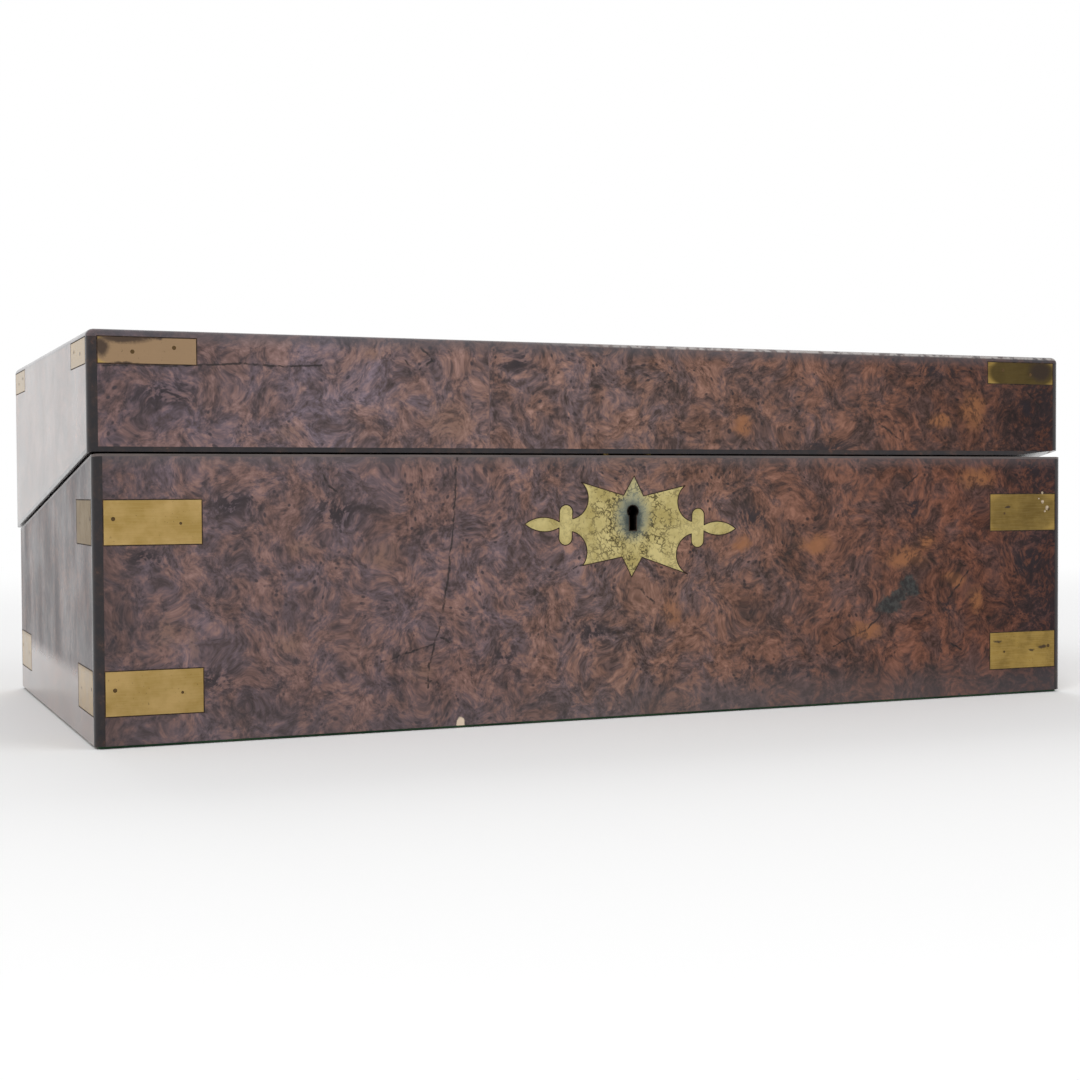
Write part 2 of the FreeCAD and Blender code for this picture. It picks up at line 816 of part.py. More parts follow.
def build():
    pieces = {}
    base = base_form()
    base_cut = below(base_wood_top)
    lid = lid_form()
    lid_cut = above(lid_wood_bottom)
    worn = [worn_corner()]

    # Base carcass
    base_recess = hinge_recesses(-1)
    names = ("front_board", "back_board", "left_board", "right_board")
    boards = carcass(-half_w, half_w, baize_thickness, height, base_cut, base_tails)
    mortise = [lock_room(), selvedge_box(-1), keyhole(-half_d, lock_y)]
    boards[0] = less(boards[0], mortise)
    boards[1] = less(boards[1], base_recess)
    for name, piece in zip(names, boards):
        pieces["base_" + name] = [piece]
    pieces["base_floor"] = [box(-inner_x, inner_x, -inner_y, inner_y, baize_thickness,
                                baize_thickness + floor_thickness)]
    inset = baize_inset
    pieces["underside_baize"] = [rounded_block(-half_w + inset, half_w - inset, -half_d + inset,
                                               half_d - inset, 0, baize_thickness,
                                               corner_radius - inset)]

    # Base skins and trim
    cm = corner_moulding
    shell = base.common(base_cut)
    straps = base_straps()
    plate = escutcheon_blank()
    front = shell.common(box(-half_w + cm, half_w - cm, -half_d, -half_d + veneer, 0, height))
    back = shell.common(box(-half_w + cm, half_w - cm, half_d - veneer, half_d, 0, height))
    left = shell.common(box(-half_w, -half_w + veneer, -half_d + cm, half_d - cm, 0, height))
    right = shell.common(box(half_w - veneer, half_w, -half_d + cm, half_d - cm, 0, height))
    pieces["base_front_veneer"] = [less(front, straps + [plate])]
    pieces["base_back_veneer"] = [less(back, straps + base_recess)]
    pieces["base_left_veneer"] = [less(left, straps)]
    pieces["base_right_veneer"] = [less(right, straps)]
    pieces["base_corner_mouldings"] = [shell.common(p) for p in corner_posts(-half_w, half_w)]
    facings = mitred_facings(base, -half_w, half_w, base_wood_top, -half_gap)
    pieces["base_rim_facings"] = [less(f, base_recess + [selvedge_box(-1)]) for f in facings]
    pieces["base_straps"] = straps
    pieces["escutcheon"] = [plate.cut(keyhole(-half_d - 1, -half_d + veneer + 1))]

    # Lock
    pieces["lock_case"] = [lock_case()]
    pieces["lock_cap"] = [lock_cap()]
    pieces["lock_bolt"] = [lock_bolt()]

    # Lid hinges
    pieces["hinge_base_leaves"] = hinge_leaves(-1)
    pieces["hinge_lid_leaves"] = hinge_leaves(1)
    pieces["hinge_pins"] = hinge_pins()

    # Front section
    top_n = tray_top_n()
    pieces["section_partition"] = [section_partition()]
    pieces["section_shelf"] = [box(-inner_x, inner_x, -inner_y, section_back,
                                   shelf_top - shelf_thickness, shelf_top)]
    divider = section_box(-divider_x, -divider_x + partition, shelf_top, top_n)
    pieces["ink_dividers"] = [divider, mirror_x(divider)]
    bearer = box(-divider_x + partition, -divider_x + partition + bearer_width, -inner_y,
                 section_back, tray_bottom - bearer_height, tray_bottom)
    pieces["tray_bearers"] = [bearer, mirror_x(bearer)]
    pieces["pen_tray"] = [pen_tray()]
    for side, (x, y) in zip(("left", "right"), inkwell_places()):
        pieces[side + "_inkwell"] = [inkwell(x, y)]
        pieces[side + "_inkwell_cap"] = [inkwell_cap(x, y)]

    # Flaps
    for name, n_side in (("upper", -1), ("lower", 1)):
        pieces[name + "_flap_ledges"] = ledges(n_side)
        pieces[name + "_flap_board"] = [flap_board(n_side)]
        pieces[name + "_flap_leather"] = [flap_leather(n_side)]
        pieces[name + "_flap_fixed_leaves"] = flap_leaves(n_side, flap_fixed_leaf)
        pieces[name + "_flap_moving_leaves"] = flap_leaves(n_side, flap_moving_leaf)

    # Lid carcass
    lid_recess = hinge_recesses(1)
    boards = carcass(lid_left, lid_right, 0, lid_side_top, lid_cut, lid_tails)
    link_seat = selvedge_box(1)
    boards[0] = less(boards[0], [link_seat] + worn)
    boards[1] = less(boards[1], lid_recess)
    boards[3] = less(boards[3], worn)
    for name, piece in zip(names, boards):
        pieces["lid_" + name] = [piece]
    ring_room = box(lid_left + top_moulding, lid_right - top_moulding, -half_d + top_moulding,
                    half_d - top_moulding, 0, big)
    ring = lid.common(box(-big, big, -big, big, height - top_moulding, height)).cut(ring_room)
    top_board = box(lid_left + veneer, lid_right - veneer, -half_d + veneer, half_d - veneer,
                    lid_side_top, height - top_veneer)
    pieces["lid_top_board"] = [less(top_board, [ring] + corner_posts(lid_left, lid_right))]
    pieces["lid_top_veneer"] = [box(lid_left + top_moulding, lid_right - top_moulding,
                                    -half_d + top_moulding, half_d - top_moulding,
                                    height - top_veneer, height)]
    pieces["lid_top_moulding"] = [ring]

    # Lid skins and trim
    shell = lid.common(lid_cut).common(box(-big, big, -big, big, 0, height - top_moulding))
    straps = lid_straps()
    front = shell.common(box(lid_left + cm, lid_right - cm, -half_d, -half_d + veneer, 0, height))
    back = shell.common(box(lid_left + cm, lid_right - cm, half_d - veneer, half_d, 0, height))
    left = shell.common(box(lid_left, lid_left + veneer, -half_d + cm, half_d - cm, 0, height))
    right = shell.common(box(lid_right - veneer, lid_right, -half_d + cm, half_d - cm, 0, height))
    pieces["lid_front_veneer"] = [less(front, straps + worn)]
    pieces["lid_back_veneer"] = [less(back, straps + lid_recess)]
    pieces["lid_left_veneer"] = [less(left, straps)]
    pieces["lid_right_veneer"] = [less(right, straps + worn)]
    posts = corner_posts(lid_left, lid_right)
    pieces["lid_corner_mouldings"] = [less(shell.common(p), worn) for p in posts]
    facings = mitred_facings(lid, lid_left, lid_right, half_gap, lid_wood_bottom)
    pieces["lid_rim_facings"] = [less(f, lid_recess + [link_seat] + worn) for f in facings]
    pieces["lid_straps"] = straps
    pieces["link_plate"] = [link_plate()]
    return pieces


def save(pieces):
    os.makedirs("parts", exist_ok=True)
    for name, shapes in pieces.items():
        solids = [solid for shape in shapes for solid in shape.Solids]
        whole = solids[0] if len(solids) == 1 else Part.makeCompound(solids)
        whole.exportStep("parts/" + name + ".step")
        size = whole.BoundBox
        print(name, len(solids), "valid" if whole.isValid() else "INVALID",
              round(sum(s.Volume for s in solids), 1),
              [round(v, 1) for v in (size.XMin, size.XMax, size.YMin, size.YMax, size.ZMin, size.ZMax)])


save(build())
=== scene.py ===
import math
import random

import bmesh
import bpy
from mathutils import Matrix, Vector


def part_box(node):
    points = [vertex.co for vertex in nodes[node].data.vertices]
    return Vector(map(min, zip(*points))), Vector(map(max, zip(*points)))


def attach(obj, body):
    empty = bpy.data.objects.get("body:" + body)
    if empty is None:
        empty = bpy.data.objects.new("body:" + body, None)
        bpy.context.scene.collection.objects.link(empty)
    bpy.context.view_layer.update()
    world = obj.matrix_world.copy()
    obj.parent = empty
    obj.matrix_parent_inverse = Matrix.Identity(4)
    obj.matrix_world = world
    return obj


# The looks of a Victorian writing slope: burr walnut veneer under old French polish, ebonised
# corners, flush brass straps and a pierced escutcheon, with green leather flaps inside.
# Pieces are in metres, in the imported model's frame. Places inside materials are in millimetres.

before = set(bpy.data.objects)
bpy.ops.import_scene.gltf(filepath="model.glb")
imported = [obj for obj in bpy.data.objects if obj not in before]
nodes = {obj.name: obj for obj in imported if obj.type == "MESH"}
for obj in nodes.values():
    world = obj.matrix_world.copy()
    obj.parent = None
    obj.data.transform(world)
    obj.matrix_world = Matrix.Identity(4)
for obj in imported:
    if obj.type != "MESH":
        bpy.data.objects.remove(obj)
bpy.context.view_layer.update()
MM = 0.001

# Places on the front, in millimetres: x from the middle of the box, z up from the table
LID_SEAM_X = -68.5
SHRINKAGE_CRACK = [(-237, 150.6), (-192, 151.2), (-176, 152.6), (-160, 151.8), (-142, 152.6)]
BASE_CRACKS = [
    [(-83.5, 117), (-84.5, 90), (-88, 62), (-92, 41), (-96.5, 27), (-97.5, 18)],
    [(-117.5, 29.2), (-110, 32), (-93.5, 36)],
    [(129, 41), (121.5, 35), (112, 31), (103, 27.5)],
    [(-91, 38.6), (-85, 36.4)],
    [(-98, 20.2), (-92.5, 19.4)],
    [(3, 56.6), (9.6, 50.2)],
    [(-29.6, 66.4), (-25.4, 68.2)],
    [(142, 100.4), (151.5, 108.5)],
    [(169, 26.4), (175, 22.8)],
    [(-144, 111), (-139, 103), (-136, 101)],
    [(168, 48), (180, 62)],
]
LID_CRACKS = [
    [(214, 148), (222, 140), (217, 134)],
    [(-99, 161), (-94, 156), (-100, 151), (-106, 155)],
    [(128, 131), (141, 124)],
]
FILLER_SPOTS = [(134.5, 45.5, 8.2, 5.4), (145, 54.5, 6.4, 5.8), (139.5, 49.5, 5.4, 4.4)]
# Each spot is its x, its z and its reach along x and z
BASE_FLAMES = [
    (93, 75, 13, 7),
    (143, 68, 17, 8),
    (155, 76, 7, 5),
    (54, 76, 7, 6),
    (171, 57, 10, 5),
    (184, 47, 6, 9),
    (121, 34, 14, 5),
    (184, 106, 15, 7),
    (18, 46, 6, 9),
    (-152, 78, 9, 5),
    (-118, 74, 11, 7),
    (-157, 38, 9, 8),
    (-196, 41, 2.6, 9),
    (-100, 25, 8, 6),
    (-206, 44, 8, 9),
]
BASE_DARKS = [
    (-180, 96, 15, 8),
    (-135, 92, 17, 10),
    (-215, 74, 12, 6),
    (-20, 39, 12, 9),
    (-62, 30, 9, 5),
    (60, 88, 13, 9),
    (218, 110, 19, 9),
    (216, 66, 26, 15),
    (228, 42, 9, 13),
    (147, 92, 9, 6),
    (168, 43, 6, 7),
    (-190, 25, 16, 9),
    (85, 16, 30, 4),
]
LID_FLAMES = [
    (-157, 125, 6, 5),
    (-120, 157, 8, 4),
    (-86, 130, 17, 11),
    (163, 133, 10, 5),
    (182, 138, 9, 13),
    (55, 130, 7, 7),
]
LID_DARKS = [
    (162, 157, 26, 5),
    (214, 139, 10, 8),
    (-205, 140, 22, 10),
    (-55, 155, 12, 6),
    (225, 155, 12, 12),
    (100, 120, 20, 5),
]
CHIP = (-82.3, 0.8, 2.2, 4.2)
ESCUTCHEON_X = -0.6
KEYHOLE_Z = 88.6
STRAP_STAINS = [
    (-222, 161.8, 14, 3.0),
    (-212, 162.6, 12, 1.9),
    (-231, 158, 4, 5),
    (-222, 151.2, 8, 1.2),
    (222, 158, 9, 7),
    (223.5, 22.4, 3.6, 1.3),
    (217, 21.2, 2.4, 0.7),
    (196.5, 26, 3.2, 0.8),
    (202.5, 91.5, 2.4, 0.8),
]


class Paint:
    """Builds the nodes of one material. Every place is in millimetres in the piece's frame."""

    def __init__(self, name):
        self.material = bpy.data.materials.new(name)
        self.material.use_nodes = True
        self.tree = self.material.node_tree
        self.shader = self.tree.nodes["Principled BSDF"]
        metres = self.tree.nodes.new("ShaderNodeTexCoord").outputs["Object"]
        self.place = self.vector("SCALE", metres, scale=1 / MM)

    def feed(self, socket, value):
        if isinstance(value, bpy.types.NodeSocket):
            self.tree.links.new(value, socket)
        elif socket.type == "RGBA":
            socket.default_value = (*value[:3], 1.0)
        else:
            socket.default_value = value

    def node(self, kind, output, settings, inputs):
        node = self.tree.nodes.new(kind)
        for name, value in settings.items():
            setattr(node, name, value)
        for name, value in inputs.items():
            self.feed(node.inputs[name], value)
        return node.outputs[output]

    def math(self, operation, a, b=0.0, clamp=False):
        settings = {"operation": operation, "use_clamp": clamp}
        return self.node("ShaderNodeMath", 0, settings, {0: a, 1: b})

    def vector(self, operation, a, b=(0, 0, 0), scale=1.0):
        output = "Value" if operation in ("LENGTH", "DOT_PRODUCT") else "Vector"
        inputs = {0: a, 1: b, 3: scale}
        return self.node("ShaderNodeVectorMath", output, {"operation": operation}, inputs)

    def axis(self, place, name):
        return self.node("ShaderNodeSeparateXYZ", name, {}, {0: place})

    def noise(self, place, size, detail=2.0, roughness=0.5, distortion=0.0, colour=False):
        """Cloudy noise from 0 to 1, with patches about size millimetres across."""
        inputs = {"Vector": place, "Scale": 1 / size, "Detail": detail,
                  "Roughness": roughness, "Distortion": distortion}
        return self.node("ShaderNodeTexNoise", 1 if colour else 0, {}, inputs)

    def cells(self, place, size, feature="F1"):
        """Distance to the nearest random point, or edge, in units of the cell's size."""
        inputs = {"Vector": place, "Scale": 1 / size}
        return self.node("ShaderNodeTexVoronoi", "Distance", {"feature": feature}, inputs)

    def step(self, value, start, end, low=0.0, high=1.0):
        inputs = {"Value": value, "From Min": start, "From Max": end, "To Min": low, "To Max": high}
        return self.node("ShaderNodeMapRange", 0, {"interpolation_type": "SMOOTHSTEP"}, inputs)

    def mix(self, amount, a, b, blend="MIX"):
        settings = {"data_type": "RGBA", "blend_type": blend}
        return self.node("ShaderNodeMix", 2, settings, {0: amount, 6: a, 7: b})

    def ramp(self, value, stops):
        socket = self.node("ShaderNodeValToRGB", 0, {}, {0: value})
        elements = socket.node.color_ramp.elements
        while len(elements) < len(stops):
            elements.new(0.5)
        for element, (position, colour) in zip(elements, stops):
            element.position = position
            element.color = (*colour, 1.0)
        return socket

    def blend(self, amount, a, b):
        """a where amount is 0, b where it is 1."""
        return self.node("ShaderNodeMix", 0, {"data_type": "FLOAT"}, {0: amount, 2: a, 3: b})

    def moved(self, place, drift, reach):
        """The place pushed about by a colour noise, up to about reach millimetres."""
        centred = self.vector("SUBTRACT", drift, (0.5, 0.5, 0.5))
        return self.vector("ADD", place, self.vector("SCALE", centred, scale=2.0 * reach))

    def stretched(self, place, scales):
        return self.vector("MULTIPLY", place, scales)

    def strongest(self, masks):
        result = masks[0]
        for mask in masks[1:]:
            result = self.math("MAXIMUM", result, mask)
        return result

    def spot(self, place, x, z, reach_x, reach_z, edge=0.5):
        """1 inside a soft oval on the front, 0 outside it."""
        near = self.vector("SUBTRACT", place, (x, 0, z))
        near = self.vector("MULTIPLY", near, (1 / reach_x, 0, 1 / reach_z))
        return self.step(self.vector("LENGTH", near), 1.0, edge)

    def line(self, place, points, width):
        """1 on a line through (x, z) points on the front, 0 away from it."""
        flat = self.vector("MULTIPLY", place, (1, 0, 1))
        nearest = None
        for (x0, z0), (x1, z1) in zip(points, points[1:]):
            run = Vector((x1 - x0, 0, z1 - z0))
            offset = self.vector("SUBTRACT", flat, (x0, 0, z0))
            share = self.vector("DOT_PRODUCT", offset, tuple(run / run.length_squared))
            share = self.math("ADD", share, 0.0, clamp=True)
            foot = self.vector("SCALE", tuple(run), scale=share)
            gap = self.vector("LENGTH", self.vector("SUBTRACT", offset, foot))
            nearest = gap if nearest is None else self.math("MINIMUM", nearest, gap)
        return self.step(nearest, width, width * 0.35)

    def bump(self, height, distance_mm, strength=1.0, normal=None):
        inputs = {"Height": height, "Distance": distance_mm * MM, "Strength": strength}
        if normal is not None:
            inputs["Normal"] = normal
        return self.node("ShaderNodeBump", 0, {}, inputs)

    def finish(self, **inputs):
        for name, value in inputs.items():
            self.feed(self.shader.inputs[name.replace("_", " ")], value)
        return self.material


# Wood
WALNUT = [
    (0.05, (0.018, 0.007, 0.003)),
    (0.30, (0.062, 0.030, 0.020)),
    (0.50, (0.112, 0.062, 0.048)),
    (0.70, (0.168, 0.097, 0.079)),
    (0.95, (0.250, 0.150, 0.125)),
]
PLUM = (0.86, 0.90, 1.04)
RUSSET = (1.16, 0.93, 0.74)
# How the colour of each front changes from its left end to its right end: painted light, a bluish painted
# reflection at the left and painted shade growing towards the right
BASE_PAINTED_LIGHT = [
    (0.00, (0.50, 0.54, 0.66)),
    (0.07, (0.94, 1.10, 1.40)),
    (0.34, (1.00, 1.13, 1.38)),
    (0.50, (1.03, 1.15, 1.26)),
    (0.70, (0.83, 0.75, 0.73)),
    (0.88, (0.72, 0.57, 0.51)),
    (0.95, (0.52, 0.42, 0.41)),
    (1.00, (0.34, 0.27, 0.29)),
]
LID_PAINTED_LIGHT = [
    (0.00, (0.76, 0.90, 1.26)),
    (0.20, (1.15, 1.44, 1.92)),
    (0.35, (1.10, 1.29, 1.55)),
    (0.52, (0.99, 1.11, 1.24)),
    (0.80, (0.74, 0.65, 0.61)),
    (1.00, (0.32, 0.25, 0.24)),
]
# Grey-purple painted reflection laid over the left part of each front
PAINTED_REFLECTION_TINT = (0.118, 0.094, 0.110)
# Colour for the dark patches, and for painted shade over the right end of each front
DARK_PATCH_AND_SHADE = (0.015, 0.010, 0.013)
FLAME = (0.25, 0.100, 0.038)
PALE_FLAME = (0.22, 0.125, 0.088)
# Grey for painted light: shade below the lid's top edge and the grey glare on the left end
PAINTED_LIGHTING_GREY = (0.066, 0.064, 0.074)
# Grey for the greyer bands along the top and the bottom of the base front
BASE_BAND_GREY = (0.090, 0.082, 0.088)
EYE = (0.018, 0.010, 0.010)
CRACK = (0.010, 0.007, 0.007)
FILLER = [(0.40, (0.008, 0.009, 0.010)), (0.62, (0.038, 0.041, 0.039))]
GRAIN_RUNS = [(0.75, 0.35, 0.45), (-0.5, 0.4, 0.75)]


def along(paint, place, run, across, length):
    """Noise in streaks: across millimetres wide and length millimetres long, along run."""
    run = Vector(run).normalized()
    part = paint.vector("DOT_PRODUCT", place, tuple(run))
    back = paint.vector("SCALE", tuple(run * (across / length - 1)), scale=part)
    squeezed = paint.vector("ADD", place, back)
    return paint.noise(squeezed, across, detail=2, roughness=0.55)


def knots(paint, place, size, turn, axis):
    """The place turned round the nearest knot, most at its middle, and the distance to that."""
    inputs = {"Vector": place, "Scale": 1 / size}
    centre = paint.node("ShaderNodeTexVoronoi", "Position", {}, inputs)
    centre = paint.vector("SCALE", centre, scale=size)
    near = paint.vector("LENGTH", paint.vector("SUBTRACT", place, centre))
    angle = paint.step(near, 0.52 * size, 0.0, 0.0, turn)
    inputs = {"Vector": place, "Center": centre, "Axis": axis, "Angle": angle}
    return paint.node("ShaderNodeVectorRotate", 0, {}, inputs), near


def patches(paint, place, size):
    """An even value from 0 to 1 for each random cell, as where one clump of grain meets another."""
    inputs = {"Vector": place, "Scale": 1 / size}
    return paint.axis(paint.node("ShaderNodeTexVoronoi", "Color", {}, inputs), "X")


def creases(paint, place, size, width):
    """Thin winding lines, where a noise passes its middle value."""
    level = paint.math("SUBTRACT", paint.noise(place, size, detail=3, roughness=0.55), 0.5)
    return paint.step(paint.math("ABSOLUTE", level), width, 0.0)


def weighted(paint, parts):
    """0.5 plus each noise's departure from 0.5 times its weight."""
    total = 0.5 - sum(weight for noise, weight in parts) / 2
    for noise, weight in parts:
        total = paint.math("ADD", total, paint.math("MULTIPLY", noise, weight))
    return total


def burr_figure(paint, place, axis):
    """Tone of the burr from 0 to 1, how russet it is, and its small dark eyes and creases."""
    drift = paint.noise(place, 30, detail=2, colour=True)
    flow = paint.moved(place, drift, 15)
    large = knots(paint, flow, 27, 5.0, axis)[0]
    small, small_near = knots(paint, large, 7.0, 4.0, axis)
    turn = paint.step(paint.noise(flow, 13, detail=1), 0.47, 0.53)
    streaks = [along(paint, small, run, 1.8, 6.5) for run in GRAIN_RUNS]
    streak = paint.blend(turn, streaks[0], streaks[1])
    mottle = paint.noise(small, 4.6, detail=3, roughness=0.75)
    flecks = paint.noise(small, 1.7, detail=2, roughness=0.6)
    clouds = paint.noise(large, 24, detail=3, roughness=0.75)
    torn = paint.moved(large, paint.noise(place, 5, detail=3, roughness=0.7, colour=True), 4)
    tone = weighted(paint, [(streak, 0.70), (mottle, 1.35), (flecks, 0.40), (clouds, 0.95),
                            (patches(paint, torn, 10), 0.16)])
    crowd = paint.step(paint.noise(place, 19, detail=1), 0.44, 0.57)
    pips = paint.cells(paint.moved(place, drift, 9), 4.3)
    eyes = paint.math("MULTIPLY", paint.step(pips, 0.24, 0.12), crowd)
    hearts = paint.step(small_near, 0.9, 0.3)
    folds = creases(paint, small, 12, 0.018)
    folds = paint.math("MULTIPLY", folds, paint.step(mottle, 0.60, 0.42))
    russet = paint.noise(large, 16, detail=3, roughness=0.6)
    marks = paint.strongest([eyes, paint.math("MULTIPLY", hearts, 0.6),
                             paint.math("MULTIPLY", folds, 0.65)])
    return tone, russet, marks


def front_marks(paint, place, colour, tone, lid):
    """What sits at its own place on a front: bright and dark patches, cracks, filler, a chip, and painted
    light: shade at the right end, below the lid's top edge and in the keyhole, and a highlight along the
    lid's top arris.
    """
    ragged = paint.moved(place, paint.noise(place, 7, detail=4, roughness=0.7, colour=True), 6)
    wobble = paint.noise(place, 5, detail=3, roughness=0.6, colour=True)
    slightly = paint.moved(place, wobble, 1.6)
    flames = paint.strongest([paint.spot(ragged, *s, edge=0.15)
                              for s in (LID_FLAMES if lid else BASE_FLAMES)])
    flames = paint.math("MULTIPLY", flames, paint.step(tone, 0.30, 0.52, 0.35, 1.0))
    x = paint.axis(place, "X")
    height = paint.axis(place, "Z")
    strength = paint.step(x, -90, 60, 0.42, 0.80)
    flame = paint.mix(paint.step(x, -90, 60), PALE_FLAME, FLAME)
    colour = paint.mix(paint.math("MULTIPLY", flames, strength), colour, flame)
    dark = [paint.spot(ragged, *s, edge=0.0) for s in (LID_DARKS if lid else BASE_DARKS)]
    # The step over the right end darkens it as painted shade; the spots are dark patches at listed places
    dark = paint.strongest(dark + [paint.step(x, 176, 240, 0.0, 0.75)])
    dark = paint.math("MULTIPLY", dark, paint.step(tone, 0.60, 0.42, 0.15, 1.0))
    colour = paint.mix(paint.math("MULTIPLY", dark, 0.90), colour, DARK_PATCH_AND_SHADE)
    crack = paint.strongest([paint.line(slightly, points, 0.62)
                             for points in (LID_CRACKS if lid else BASE_CRACKS)])
    broken = paint.step(paint.noise(place, 3.2, detail=2), 0.36, 0.56, 0.15, 0.85)
    crack = paint.math("MULTIPLY", crack, broken)
    if lid:
        gap = paint.line(paint.moved(place, wobble, 1.1), SHRINKAGE_CRACK, 0.6)
        gap = paint.math("MULTIPLY", gap, broken)
        crack = paint.math("MAXIMUM", crack, gap)
        colour = paint.mix(crack, colour, CRACK)
        # A pale line along the top arris of the lid front: painted highlight of the rounded edge, broken up
        # by noise
        wear_and_painted_sheen = paint.math("MULTIPLY", paint.step(height, 163.2, 164.0),
                          paint.step(height, 164.95, 164.6))
        wear_and_painted_sheen = paint.math("MULTIPLY", wear_and_painted_sheen, paint.step(paint.axis(place, "Y"), -117, -119))
        wear_and_painted_sheen = paint.math("MULTIPLY", wear_and_painted_sheen, paint.step(x, -60, 20, 0.0, 0.8))
        wear_and_painted_sheen = paint.math("MULTIPLY", wear_and_painted_sheen, broken)
        # Painted shade: a grey band darkening up to the rounded top edge of the lid front
        colour = paint.mix(paint.step(height, 157.5, 164, 0.0, 0.6), colour, PAINTED_LIGHTING_GREY)
        return paint.mix(wear_and_painted_sheen, colour, (0.50, 0.47, 0.45)), crack
    # Greyer bands along the top and the bottom of the base front, the bottom one stronger to the right
    grey = paint.math("MAXIMUM", paint.step(height, 109, 116, 0.0, 0.42),
                      paint.math("MULTIPLY", paint.step(height, 24, 2, 0.0, 0.42),
                                 paint.step(x, -120, 60, 0.4, 1.0)))
    colour = paint.mix(grey, colour, BASE_BAND_GREY)
    colour = paint.mix(crack, colour, CRACK)
    filler = paint.strongest([paint.spot(ragged, *s, edge=0.6) for s in FILLER_SPOTS])
    lumps = paint.ramp(paint.noise(place, 2.4, detail=3, roughness=0.7), FILLER)
    colour = paint.mix(paint.math("MULTIPLY", filler, 0.92), colour, lumps)
    chip = paint.spot(slightly, *CHIP, edge=0.75)
    colour = paint.mix(chip, colour, (0.62, 0.50, 0.38))
    # Painted shade: near black inside the keyhole
    hole = paint.spot(place, ESCUTCHEON_X, KEYHOLE_Z, 5, 9, edge=0.8)
    return paint.mix(hole, colour, (0.004, 0.003, 0.003)), crack


def burr_veneer(name, shift, axis=(0, 1, 0), front=None, painted_reflection_end=False, coat_ior=1.3):
    """Burr walnut under old French polish. front is 'base' or 'lid' for the two front faces."""
    paint = Paint(name)
    place = paint.vector("ADD", paint.place, shift)
    x = paint.axis(paint.place, "X")
    lid = front == "lid"
    if lid:
        leaf = paint.step(x, LID_SEAM_X - 0.3, LID_SEAM_X + 0.3)
        place = paint.vector("ADD", place, paint.vector("SCALE", (0, 90, 40), scale=leaf))
    tone, russet, eyes = burr_figure(paint, place, axis)
    colour = paint.ramp(tone, WALNUT)
    warmth = weighted(paint, [(russet, 0.75), (tone, 0.40)])
    tint = paint.ramp(warmth, [(0.42, PLUM), (0.58, RUSSET)])
    colour = paint.mix(1.0, colour, tint, blend="MULTIPLY")
    colour = paint.mix(paint.math("MULTIPLY", eyes, 0.9), colour, EYE)
    normal = paint.bump(paint.noise(paint.place, 3.5, detail=3, roughness=0.6), 0.05, 0.35)
    if front:
        across = paint.step(x, -235, 235)
        across.node.interpolation_type = "LINEAR"
        # Painted light along the front: a bluish painted reflection at the left, painted shade towards the
        # right
        painted_light = paint.ramp(across, LID_PAINTED_LIGHT if lid else BASE_PAINTED_LIGHT)
        colour = paint.mix(1.0, colour, painted_light, blend="MULTIPLY")
        # Painted reflection: a grey-purple veil growing towards the left
        colour = paint.mix(paint.step(x, 30, -150, 0.0, 0.15), colour, PAINTED_REFLECTION_TINT)
        colour, crack = front_marks(paint, paint.place, colour, tone, lid)
        normal = paint.bump(paint.math("SUBTRACT", 1.0, crack), 0.15, 0.8, normal)
    dust = paint.noise(paint.place, 40, detail=4, roughness=0.6)
    coat = 1.0
    if front:
        coat = paint.step(x, 60, 236, 1.0, 0.15)
    if painted_reflection_end:
        # Streaks over the left end above its bottom band, where the coat is thinner and the colour greyed
        # as painted reflection
        height = paint.axis(paint.place, "Z")
        streaks = paint.noise(paint.stretched(paint.place, (1, 1, 0.25)), 22, detail=3)
        wear_and_painted_sheen = paint.math("MULTIPLY", paint.step(height, 22, 31), paint.step(x, 0, -1))
        wear_and_painted_sheen = paint.math("MULTIPLY", wear_and_painted_sheen, paint.step(streaks, 0.30, 0.66, 0.72, 1.0))
        coat = paint.math("SUBTRACT", 1.0, paint.math("MULTIPLY", wear_and_painted_sheen, 0.76))
        colour = paint.mix(paint.math("MULTIPLY", wear_and_painted_sheen, 0.65), colour, PAINTED_LIGHTING_GREY)
    return paint.finish(Base_Color=colour, Roughness=paint.step(dust, 0.35, 0.65, 0.38, 0.62),
                        Specular_IOR_Level=0.12, Coat_Weight=coat, Coat_IOR=coat_ior,
                        Coat_Roughness=0.14, Normal=normal, Coat_Normal=normal)


